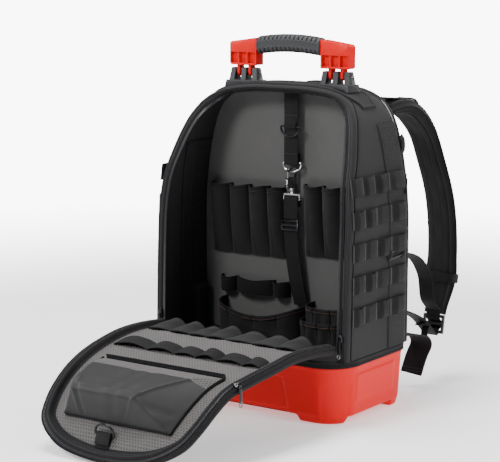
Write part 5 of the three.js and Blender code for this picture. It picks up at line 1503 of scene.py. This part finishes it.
def deepPocket(s, rows=30, columns=97):
    # a wall that leaves the board, turns in a round corner and comes back; pleats and sags on its front
    c = np.linspace(0, 1, columns)[None]
    r = np.linspace(0, 1, rows)[:, None]
    out = (1 - abs(2 * c - 1) ** 7.5) ** 0.42
    seat = boardFront - 0.5
    x = lerp(*s["x"], c) + 0 * r
    z = lerp(body["boardFoot"] + 0.1, s["top"] - s["dip"] * np.sin(np.pi * c), r)
    pleat = sum(np.exp(-((c - p) / 0.016) ** 2) for p in s["pleats"]) * 2.4 * smooth(0.15, 0.9, r)
    bag = 1.3 * np.sin(7 * c * np.pi + 1.0) * np.sin(np.pi * r) ** 0.8 + 1.0 * np.sin(9 * r + 8 * c) * (1 - r)
    y = seat - s["depth"] * out * (0.9 + 0.1 * r) + (pleat - bag) * smooth(0.6, 0.95, out)
    y = np.minimum(y, seat)
    inward = np.sign(0.5 - c) * smooth(0.97, 0.7, out) * 1.4
    front = np.stack([x, y - 1.4 * smooth(0.2, 0.7, out) - 0.1, z], 2)
    back = np.stack([x + inward, y, z], 2)
    return front, back


for name, s in pocketShapes.items():
    front, back = deepPocket(s)
    piece = sheetOf(name, front, back, "panelCloth" if name == "pocketRightLower" else "liningCloth",
                    sharp=60, replaces=s["node"], slot="lining_cloth")
    declareSheet(front)
    bindEdge(name, front, back, -1, width=8.0, thread="brownThread")
    line = front[-4] + [0, -0.05, 0]
    stitches(f"{name}Thread_low", line, (0, -1, 0.1), "brownThread", 3.6, 2.9, 0.6, slot="lining_cloth")


# Holder on the left inner wall

def makeHolder():
    # a sheet on the wall: a strip, ribs across it and a pocket's hump at the foot, blended by smooth steps
    heights = np.linspace(body["boardFoot"] + 0.2, 385, 120)[:, None]
    across = np.linspace(0, 1, 49)[None]
    line, _ = archLine(body["boardFoot"], -5.6, 801)
    half = line[:len(line) // 2 + 1]
    wall = np.interp(heights, half[:, 1], half[:, 0])
    hump = smooth(0.33, 0.5, across) * smooth(1.0, 0.86, across)
    foot = smooth(162, 155, heights)
    rib = 0.5 * abs(np.sin(heights / 5.2)) * (1 - foot) * smooth(0.4, 0.46, across)
    strip = 1.2 * smooth(0.02, 0.06, across) * smooth(0.40, 0.36, across)
    lift = 1.5 + hump * (12 * foot + 0.8) + strip + rib + 0.7 * np.sin(heights / 23.0) * hump * foot
    y = -22 + 60 * across + 0 * heights
    z = heights + 0 * across
    front = np.stack([wall + lift, y, z], 2)
    back = np.stack([wall + 0 * across, y, z], 2)
    return front, back


front, back = makeHolder()
holder = sheetOf("sideHolder", front, back, "bandWebbing", sharp=60, replaces="side_holder",
                 slot="lining_cloth")
print("storage on the divider made")


# Webbing that hangs in the middle, with its rings, snap hook and adjuster

hangSettings = {
    "x": 3.0, "y": 32.0, "width": 25.0, "web": 1.6, "wire": 1.6, "upperRing": 413.0, "lowerRing": 358.0,
    "tacks": (430, 402, 372), "eyeBar": 1.6, "adjuster": 264.0,
    "drop": [(0, -1, None), (1.5, -1, 240), (5, -1, 210), (10, -1, 178), (13, 0, 157), (15, 1, 142)],
    "ease": (0, -0.6, 0, 1.2, 0.6, 0),
}


def foldPath(x, y, z, radius, up, long, steps=15):
    # webbing that comes down, turns round a bar in half a circle and goes back up behind it
    a = np.linspace(0, np.pi, steps)[1:-1]
    return np.vstack([
        np.stack([np.full(12, x), np.full(12, y - radius), np.linspace(up, z, 12)], 1),
        np.stack([np.full(len(a), x), y - radius * np.cos(a), z - radius * np.sin(a)], 1),
        np.stack([np.full(8, x), np.full(8, y + radius), np.linspace(z, z + long, 8)], 1)])


h = hangSettings
out = (h["wire"] + 0.3 + h["web"] / 2) * 1.08
path = foldPath(h["x"], h["y"], h["lowerRing"], out, 470.0, 14.0)
webbing("hangingStrap", path, h["width"], h["web"], replaces="hanging_strap")
for k, z in enumerate(h["tacks"]):
    tackRow(f"hangingStrapTack_{k + 1}", (h["x"], h["y"] - out - 0.85, z), (0, -1, 0))
# a short tape holds the upper ring to the strap
ringY = h["y"] - out - h["web"] / 2 - 0.3 - h["wire"]
a = np.linspace(-0.1, np.pi + 0.1, 15)
ringRound = np.stack([np.full(15, h["x"]), ringY + 0.2 - 2.3 * np.sin(a), h["upperRing"] + 3.0 * np.cos(a)],
                     1)
path = np.vstack([[[h["x"], ringY + 2.6, 427], [h["x"], ringY + 1.6, 421]], ringRound[1:-3]])
webbing("upperRingTape", evenly(path, 30), 21, 1.1)
for name, place, *size, look, slot in (
        ("Upper", (h["x"], ringY, h["upperRing"]), 33, 15, "darkMetal", "dark_metal"),
        ("Lower", (h["x"], h["y"], h["lowerRing"]), 32, 13, "chrome", "bright_metal")):
    dRing(f"ring{name}", place, (1, 0, 0), (0, 0, -1), *size, h["wire"], look, slot,
          f"strap_ring_{name.lower()}")
bevelled("snapHook", "snap_hook", "chrome", 0.9, 4)
bevelled("snapBolt", "snap_bolt", "chrome", 0.4, 3, body="bolt")
bevelled("snapEye", "snap_eye", "chrome", 0.7, 3)
bevelled("slideAdjuster", "slide_adjuster", "darkMetal", 0.7, 3)
eyeLow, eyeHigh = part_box("snap_eye")
eyeZ = eyeLow[2] / mm + h["eyeBar"]
out = (h["eyeBar"] * 2 ** 0.5 + 0.3 + h["web"] / 2) * 1.08
a = np.linspace(0, np.pi, 15)[1:-1]
path = np.vstack([
    np.stack([np.full(6, h["x"]), np.full(6, h["y"] + out), np.linspace(eyeZ - 12, eyeZ, 6)], 1),
    np.stack([np.full(13, h["x"]), h["y"] + out * np.cos(a), eyeZ + out * np.sin(a)], 1),
    np.stack([np.full(6, h["x"]), np.full(6, h["y"] - out), np.linspace(eyeZ, h["adjuster"], 6)], 1),
    curveThrough([(h["x"] + dx, h["y"] + turn * out + ease, z or h["adjuster"])
                  for (dx, turn, z), ease in zip(h["drop"], h["ease"])], 50)[1:]])
webbing("lowerStrap", path, h["width"], h["web"], replaces="lower_strap")

# rivets with washers under the top, where the handle's plate is fixed: radii and heights of their rings
rivetRings = ((0.1, 0.0), (6.0, 0.0), (6.3, 0.5), (6.0, 1.0), (4.2, 1.1), (4.0, 1.6), (3.4, 2.6), (2.0, 3.3),
              (0.1, 3.5))
line, outwards = archLine(95.6, -5.0, 1201)
for k, x in enumerate((-82, -42, 42, 82)):
    i = int(np.argmin(abs(line[:, 0] - x) + 1e3 * (line[:, 1] < 400)))
    n = -outwards[i]
    centre = np.array([line[i, 0], 22.0, line[i, 1]])
    rings = [oval(centre + up * np.array([n[0], 0, n[1]]), r * np.array([-n[1], 0, n[0]]),
                  np.array([0, r, 0]))
             for r, up in rivetRings]
    shape(f"topRivet_{k + 1}", rings, "chrome")
print("hanging strap and rivets made")


# Sides: the ribbed band and five rows of looped webbing

sideSettings = {"bandFront": 33.0, "bandWidth": 50.0, "rowTop": 355.0, "pitch": 46.3, "rowFront": -68.0,
                "width": 25.0, "web": 1.6, "bulge": 5.0, "bars": (0.0, 0.22, 0.44, 0.7, 1.0)}


def makeBand(side, s):
    # the outline's line, and the face out from it with soft long edges
    base, _ = archLine(95.7, 0.35, 1201)
    keep = (base[:, 1] < 424) & (base[:, 0] > 0)
    line = evenly(base[keep][::-1], 161)
    out = leftOf(line)
    out *= np.sign(out[:, :1].mean())
    t = np.linspace(0, 1, 17)
    y = s["bandFront"] + s["bandWidth"] * t
    high = 0.3 + 1.3 * (1 - abs(2 * t - 1) ** 12)
    front, back = (np.stack(np.broadcast_arrays(side * (line[:, :1] + out[:, :1] * lift), y,
                                                line[:, 1:] + out[:, 1:] * lift), 2)
                   for lift in (high, 0 * high))
    uv = np.stack(np.broadcast_arrays(lengths(line)[:, None], (y - y.mean())[None]), 2)
    return front, back, uv


def makeRow(side, index, s):
    # flat at its tacks and bowed out between them; it steps up where it crosses the band
    share, turn, which = between(np.array(s["bars"]), np.linspace(0, 1, 27)[:-1])
    uneven = 0.35 + 0.95 * abs(np.sin(2.1 * which + 1.7 * index + 0.4 * side)) ** 1.4
    lift = smooth(0.07, 0.36, turn) * smooth(0.93, 0.64, turn) * uneven * s["bulge"]
    y = lerp(s["rowFront"], s["bandFront"] + s["bandWidth"] - 3.5, share)
    over = 1.75 * smooth(s["bandFront"] - 6, s["bandFront"] + 1, y)
    r = np.linspace(0, 1, 9)[:, None]
    sagging = 0.9 * np.sin(np.pi * turn) * np.sin(1.3 * which + 2.0 * index)
    z = s["rowTop"] - index * s["pitch"] - s["width"] * r - sagging[None] * (lift > 1)[None] * 1.2
    pinch = 1 - 0.25 * (2 * r - 1) ** 2
    x = halfAt(z) + 0.45 + over[None] + lift[None] * pinch
    edge = 0.35 * (abs(2 * r - 1) > 0.97)
    y = np.broadcast_to(y, x.shape)
    front = np.stack([side * (x + s["web"] - edge), y, z], 2)
    uv = np.stack(np.broadcast_arrays(lengths(front[4])[None], (r - 0.5) * s["width"]), 2)
    return front, np.stack([side * x, y, z], 2), uv, share


for side, name in sides:
    face, back, uv = makeBand(side, sideSettings)
    sheetOf(f"sideBand_{name}", face, back, "bandWebbing", uv, sharp=50, replaces=f"side_band_{name}")
    for letter, column in (("a", 1), ("b", -2)):
        stitches(f"sideBandThread_{name}_{letter}", face[:, column] + [side * 0.02, 0, 0], (side, 0, 0.01))
    for index in range(5):
        face, back, uv, share = makeRow(side, index, sideSettings)
        row = index + 1
        sheetOf(f"sideWebbing_{name}_{row}", face, back, "webbing", uv, sharp=50,
                replaces=f"side_webbing_{name}_{row}")
        for k, barShare in enumerate(sideSettings["bars"]):
            column = int(np.clip(np.argmin(abs(share - barShare)), 1, len(share) - 2))
            for n, move in enumerate((-1.1, 0.0, 1.1)):
                line = face[:, column] + [side * 0.05, move, 0]
                stitches(f"tack_{name}_{row}_{k + 1}_{n + 1}", evenly(line, 24), (side, 0, 0.01), pitch=1.7,
                         long=1.8, wide=0.9, high=0.5)
print("side webbing made")


# Harness: padded shoulder straps with their webbing, locks, load lifters and the belt ends

strapSettings = {
    "x": 131.03, "reach": 171.0, "top": 433.0, "bottom": 104.0, "width": 60.0, "thick": 14.0, "face": 99.3,
    "raise": 3.6, "sliderAt": 88, "keeperAt": 139, "narrow": 0.42, "runner": 20.0,
    "lifter": 0.66, "lifterTacks": (435.5, 438.5, 441.5), "buckle": 15.2,
    "buckleBars": ((-6, 2.3, 2.3), (0, 2.8, 1.9), (7, 0.3, 2.3)), "lockX": 0.98, "lockReach": 0.885,
    "tilt": 0.16,
    "clear": 4.2, "webHigh": 235, "webLow": 141, "webTacks": (223, 143), "belt": 38.0, "beltEnd": 22,
    "line": [(0.5, 0.05, 0.9), (0.62, 0.22, 0.985), (0.8, 0.47, 1.0), (0.91, 0.66, 0.91), (0.975, 0.8, 0.74),
             (1.0, 0.92, 0.58), (1.0, 0.99, 0.42), (1.0, 1.0, 0.25), (0.99, 0.96, 0.1), (0.98, 0.91, 0.0)],
}
st = strapSettings


def strapLine(side, count=161):
    # a smooth line through the places, with a small hump in the shape of a bell
    places = [(side * st["x"] * x, st["face"] + 0.3 + st["reach"] * back, lerp(st["bottom"], st["top"], up))
              for x, back, up in st["line"]]
    path = curveThrough(places, count)
    t = np.linspace(0, 1, count)
    path[:, 2] += st["raise"] * np.exp(-((t - 0.2) / 0.13) ** 2)
    return path


def strapFrame(side, path):
    # directions along the pad: its level axis leans a little backwards away from the ends
    t = np.linspace(0, 1, len(path))
    across = np.stack([np.full(len(t), side), -0.3 * np.clip(t / 0.3, 0, 1) * np.clip((1 - t) / 0.2, 0, 1),
                       np.zeros(len(t))], 1)
    level, up = framesOf(path, across)
    return t, level, up


def makePad(side, name):
    # a soft oblong section: flat faces, a bound edge, and a low crown that follows the sewn lines
    path = strapLine(side)
    t, level, up = strapFrame(side, path)
    wide = st["width"] / 2 * (0.82 + 0.18 * smooth(0.02, 0.14, t)) * (1 - st["narrow"] * smooth(0.84, 1.0, t))
    thick = st["thick"] / 2 * (0.55 + 0.45 * smooth(0, 0.09, t)) * (1 - 0.36 * smooth(0.9, 1.0, t))
    thick = thick * (1.12 + 0.5 * np.exp(-((t - 0.24) / 0.11) ** 2))
    a = np.linspace(-1, 1, 41)
    edge = abs(a)
    crown = (1 - edge ** 9) ** 0.5 * 0.86 + 0.14
    seam = 0.2 * np.exp(-((edge - 0.74) / 0.035) ** 2) + 0.05 * np.exp(-((edge - 0.3) / 0.05) ** 2)
    border = 0.42 * smooth(0.78, 0.84, edge)
    high = np.clip(crown - seam - border, 0.12, 1.1)
    ripple = 0.4 * np.sin(np.linspace(0, 46, len(path)))[:, None] * np.sin(5 * a)[None]
    ripple = ripple * smooth(0.85, 0.6, edge)
    flat = path[:, None] + level[:, None] * (a[None, :, None] * wide[:, None, None])
    bulge = high[None] * thick[:, None]
    top = flat + up[:, None] * (bulge + ripple)[..., None]
    low = flat - up[:, None] * (bulge - 0.5 * ripple)[..., None]
    face = np.stack(np.broadcast_arrays(lengths(path)[:, None], (a * st["width"] / 2)[None]), 2)
    columns = np.tile(np.arange(82), len(path) - 1)
    mesh = ((columns > 46) & (columns < 76)).astype(int)
    piece = sheetOf(f"shoulderStrap_{name}", top, low, ["panelCloth", "backMesh"], face, sharp=50,
                    replaces=f"shoulder_strap_{name}", slot="body_cloth", lookOfFace=mesh)
    for k, column in enumerate((4, -5)):
        stitches(f"strapThread_{name}_{k + 1}", top[4:-4, column], up[4:-4], pitch=4.2, slot="body_cloth")
    for k, column in enumerate((0, -1)):
        edgeWay = lerp(top[:, column], low[:, column], 0.5)
        rod(f"strapBinding_{name}_{k + 1}", edgeWay, 1.9, level, sides=10, slot="body_cloth")
    return path, level, up, thick


for side, name in sides:
    path, level, up, thick = makePad(side, name)
    outward = up * np.sign(np.sum(up[80] * [0, 1, 0]))
    # webbing sewn down the outside of the pad, with the chest strap's slider on it and a keeper below
    n = slice(30, 150)
    over = path[n] + outward[n] * (thick[n, None] * 0.98 + 1.2)
    webbing(f"strapRunner_{name}", over, st["runner"], 1.5, level[n])
    for k, shift in enumerate((-8.4, 8.4)):
        stitches(f"strapRunnerThread_{name}_{k + 1}", over + level[n] * shift + outward[n] * 0.8, outward[n])
    at = st["sliderAt"]
    block = path[at] + outward[at] * (thick[at] + 3.2)
    way = np.cross(level[at], outward[at])
    size = 1 - 0.12 * np.linspace(-1, 1, 9) ** 4
    grid = blockAlong(block, 14.0, level[at], way, outward[at], softRing(48, 0.5), 6.5 * size, 2.6 * size)
    shape(f"chestSlider_{name}", grid, "blackMoulding")
    tongue = curveThrough([block + outward[at] * 2.6 - level[at] * side * 2,
                           block + outward[at] * 5.0 + way * 1,
                           block + outward[at] * 6.2 - way * 9, block + outward[at] * 3.4 - way * 20,
                           block + outward[at] * 0.6 - way * 30], 30)
    webbing(f"chestWebbing_{name}", tongue, 15, 1.4, level[at])
    # elastic keeper right round the pad
    at = st["keeperAt"]
    wide = st["width"] / 2 * (1 - st["narrow"] * float(smooth(0.84, 1.0, at / 160))) + 1.6
    ring = softRing(48, 0.35, 0.6) * [wide, thick[at] + 2.6]
    webbing(f"strapKeeper_{name}", path[at] + ring[:, :1] * level[at] + ring[:, 1:] * up[at], 14, 1.3,
            np.cross(level[at], up[at]), closed=True)

    # load lifter: webbing from the back's top seam to a buckle on the pad
    face = st["face"]

    def lifted(*places):
        # places as shares of the lifter's x, distances behind the back's face and heights
        return [(side * st["x"] * st["lifter"] * x, face + y, z) for x, y, z in places]

    lift = curveThrough(lifted((1, 1.9, 433), (1, 3.5, 443), (1.02, 20.5, 452), (1.12, 58, 451),
                               (1.18, 85.5, 446)), 60)
    webbing(f"loadLifter_{name}", lift, 25, 3.2, replaces=f"load_lifter_{name}")
    tailWay = curveThrough(lifted((1.17, 84, 449.0), (1.22, 94, 449.5), (1.26, 104, 444), (1.28, 108, 432)),
                           24)
    webbing(f"loadLifterTail_{name}", tailWay, 22, 1.5)
    for k, z in enumerate(st["lifterTacks"]):
        tackRow(f"lifterTack_{name}_{k + 1}", lifted((1, 3.4 + (z - 433) * 0.05, z))[0])
    buckle = np.array(lifted((1.18, 87, 445.0))[0])
    for k, (dy, dz, r) in enumerate(st["buckleBars"]):
        bar = buckle + np.linspace(-1, 1, 21)[:, None] * [st["buckle"], 0, 0] + [0, dy, dz]
        rod(f"lifterBuckleBar_{name}_{k + 1}", bar, r, (0, 1, 0), "blackMoulding", 12, 0.8)
    for k, dx in enumerate((-st["buckle"], st["buckle"])):
        bar = curveThrough([buckle + [dx, y, z] for y, z in ((-8, 1.2), (-2, 2.8), (4, 2.0), (9.5, -0.6))],
                           20)
        webbing(f"lifterBuckleSide_{name}_{k + 1}", bar, 3.2, 4.6, look="blackMoulding", slot="dark_moulding")

    # lock, the webbing woven through it, and the belt end
    bevelled(f"ladderLock_{name}", f"ladder_lock_{name}", "blackMoulding", 0.9, 3)
    clear, tilt, low, high = st["clear"], st["tilt"], st["webLow"], st["webHigh"]
    lockX = st["x"] * st["lockX"]
    lockY, lockZ = face + st["reach"] * st["lockReach"], st["bottom"] - 15 - 0.9

    def across(u, v):
        # a place in the lock's own axes, turned by its tilt
        y, z = v * np.cos(tilt) + u * np.sin(tilt), u * np.cos(tilt) - v * np.sin(tilt)
        return side * lockX, lockY + y, lockZ + z

    def behind(*places):
        # places as shares of the reach behind the back's face, beside what stands off it, and heights
        return [(side * lockX, face + st["reach"] * share + off, z) for share, off, z in places]

    upper = curveThrough(behind((0, 1.1, high), (0, 1.1, high - 14), (0.3, 0, 217), (0.55, 0, 199),
                                (0.7, 0, 169), (0.76, 0, 131)) + [across(23, -clear - 1)], 90)
    weave = curveThrough([across(23, -clear - 1), across(14, -clear), across(9.7, -clear), across(3.1, clear),
                          across(-3.1, clear), across(-9.7, -clear), across(-14, -clear),
                          across(-17, -clear - 2)], 50)
    lower = curveThrough([across(-17, -clear - 2)] + behind(
        (0.6, 0, lerp(lockZ, low, 0.3)), (0.3, 0, lerp(lockZ, low, 0.72)), (0, 1.1, low), (0, 1.1, low + 14)),
        70)
    whole = evenly(np.vstack([upper, weave[1:], lower[1:]]), 240)
    webbing(f"strapWebbing_{name}", whole, 25, 1.6, replaces=f"strap_webbing_{name}")
    for base in st["webTacks"]:
        for k in range(3):
            tackRow(f"webTack_{name}_{base}_{k + 1}", (side * lockX, face + 2.0, base + 4.0 * k))
    low, end = body["bottom"] + 8, st["beltEnd"]
    beltWay = curveThrough([(side * st["x"] * x, face + y, z) for x, y, z in (
        (1.06, 1.4, low + 14), (1.06, 1.4, low), (1.06, 48, low - 12), (1.06, 84.5, low - 22),
        (1.05, 96, low - 36), (1.02, 88.3, lerp(low, end, 0.68)), (1, 76.8, end))], 110)
    webbing(f"hipBelt_{name}", beltWay, st["belt"], 2.2, look="wideWebbing", replaces=f"hip_belt_{name}")
    # folded and sewn end of the belt, and a small side-release clip that hangs on the strap's webbing
    _, beltUp = framesOf(beltWay, (1, 0, 0))
    for k in range(2):
        at = -4 - 3 * k
        line = beltWay[at] + np.linspace(-17, 17, 24)[:, None] * [1.0, 0, 0]
        for letter, turn in (("a", -1), ("b", 1)):
            stitches(f"beltTack_{name}_{k + 1}_{letter}", line + turn * 1.12 * beltUp[at], turn * beltUp[at],
                     pitch=2.4, long=2.0)
    clipAt = np.array([side * (lockX + 3), face + 120, 62.0])
    clipWay = np.array([0, 0.25, -1.0])
    clipWay /= np.linalg.norm(clipWay)
    over = np.cross(clipWay, [1.0, 0, 0])
    u = np.linspace(-1, 1, 25)
    half = 7.0 * (1 - 0.28 * smooth(-0.2, 0.15, u) * smooth(0.75, 0.4, u))
    half = half * np.sqrt(np.clip(1 - u ** 8, 0.05, 1))
    grid = blockAlong(clipAt, 15, clipWay, np.array([1.0, 0, 0]), over, softRing(48, 0.55), half,
                      3.0 * (1 - 0.2 * abs(u) ** 3))
    shape(f"clip_{name}", grid, "blackMoulding")
    clipWeb = curveThrough([clipAt - clipWay * 14, clipAt - clipWay * 22 - over * 3,
                            clipAt - clipWay * 32 - over * 14, (side * (lockX + 3), face + 95, 96)], 30)
    webbing(f"clipWebbing_{name}", clipWeb, 12, 1.2)
print("harness made")


# Small things on the body: side bar between two rows, pull tabs at the rear zip, hanging loop, anchors

fittingSettings = {
    "off": 2.2, "bar": [[28, 228], [71, 231], [71, 241], [28, 238]], "barTapes": (30.5, 68.5),
    "zipHeight": 344.0,
    "tab": ((0.4, 86, 404), (2.4, 89, 398), (2.6, 89.5, 382), (0.4, 86, 376)), "tabHeight": 390.0,
    "haul": ((34, 98.5, 452), (34, 101, 458), (22, 108, 466)), "haulTop": (0, 111, 469),
    "anchorHalf": 132.0, "anchorAt": (98.6, 424.0), "anchorHigh": 26.0, "anchorBow": 10.0, "anchorThick": 2.2,
}
fit = fittingSettings
for side, name in sides:
    x = body["width"] / 2 + fit["off"]
    loop = np.array(fit["bar"], float)
    loop = evenly(np.vstack([loop, loop[:1]]), 65)[:-1]
    path = np.stack([np.full(64, side * (x + 1.3)), loop[:, 0], loop[:, 1]], 1)
    rod(f"sideBar_{name}", path, 1.3, (side, 0, 0), "darkMetal", 10, closed=True,
        sharp=None)
    for k, y in enumerate(fit["barTapes"]):
        hold = curveThrough([(side * (x + off), y, z)
                             for off, z in ((0, 226), (3.4, 231), (3.6, 239), (0, 245))], 20)
        webbing(f"sideBarTape_{name}_{k + 1}", hold, 5.5, 1.1, (0, 1, 0), "edgeCloth")
    z = fit["zipHeight"]
    slider(f"rearZip_{name}", (side * (float(halfAt(z)) + 1.8), 83.0, z), (0, 0.1, 1), (side, 0.1, 0.1),
           long=24)
    half = float(halfAt(fit["tabHeight"]))
    tab = curveThrough([(side * (half + off), y, z) for off, y, z in fit["tab"]], 24)
    webbing(f"rearTab_{name}", tab, 11, 1.3, (0, 1, 0.05))
leftHalf = [(-x, y, z) for x, y, z in fit["haul"]]
haul = curveThrough(leftHalf + [fit["haulTop"], *fit["haul"][::-1]], 80)
webbing("haulLoop", haul, 20, 2.6, (0, 0.5, -0.85))
t = np.linspace(0, 1, 89)[:, None]
anchorHeights = fit["anchorAt"][1] + fit["anchorHigh"] * np.linspace(0, 1, 9)
anchorHeights = anchorHeights - fit["anchorBow"] * (2 * t - 1) ** 2
anchor = np.stack(np.broadcast_arrays(fit["anchorHalf"] * (2 * t - 1), fit["anchorAt"][0], anchorHeights), 2)
front = anchor + [0, fit["anchorThick"], 0]
uv = gridMap(front, False, False) - [0, fit["anchorHigh"] / 2]
sheetOf("strapAnchor", front, anchor, "wideWebbing", uv)
print("small fittings made")


# Floor

floorSettings = {"radius": 2600.0, "below": 0.2, "fadeFrom": 0.75, "fadeTo": 2.3, "glow": 0.48, "steps": 96}


def makeFloor(settings):
    # a flat disc that fades into the white room; the fade is 1 minus a smooth step of the distance
    count = settings["steps"]
    turn = np.arange(count) * tau / count
    ring = np.column_stack([np.cos(turn), np.sin(turn), np.zeros(count)]) * settings["radius"]
    ring -= [0, 0, settings["below"]]
    mesh = bpy.data.meshes.new("studioFloor")
    mesh.from_pydata((ring * mm).tolist(), [], [list(range(count))])
    floor = bpy.data.objects.new("studioFloor", mesh)
    bpy.context.scene.collection.objects.link(floor)
    pale = Finish("paleFloor", Roughness=0.9, Specular_IOR_Level=0.1, Emission_Color=(1.0, 1.0, 1.0, 1.0),
                  Emission_Strength=settings["glow"])
    grain = pale.noise(3.0, 2.0)
    pale.drive("Base Color", pale.blend(grain, rgb((0.92, 0.92, 0.92)), rgb((0.95, 0.95, 0.95))))
    away = pale.node("ShaderNodeVectorMath", {"operation": "LENGTH"}, {0: pale.place()})
    fade = Signal(pale, away.outputs["Value"]).ramp(settings["fadeFrom"], settings["fadeTo"])
    pale.drive("Alpha", 1 - fade)
    mesh.materials.append(pale.material)


makeFloor(floorSettings)
print("scene complete")
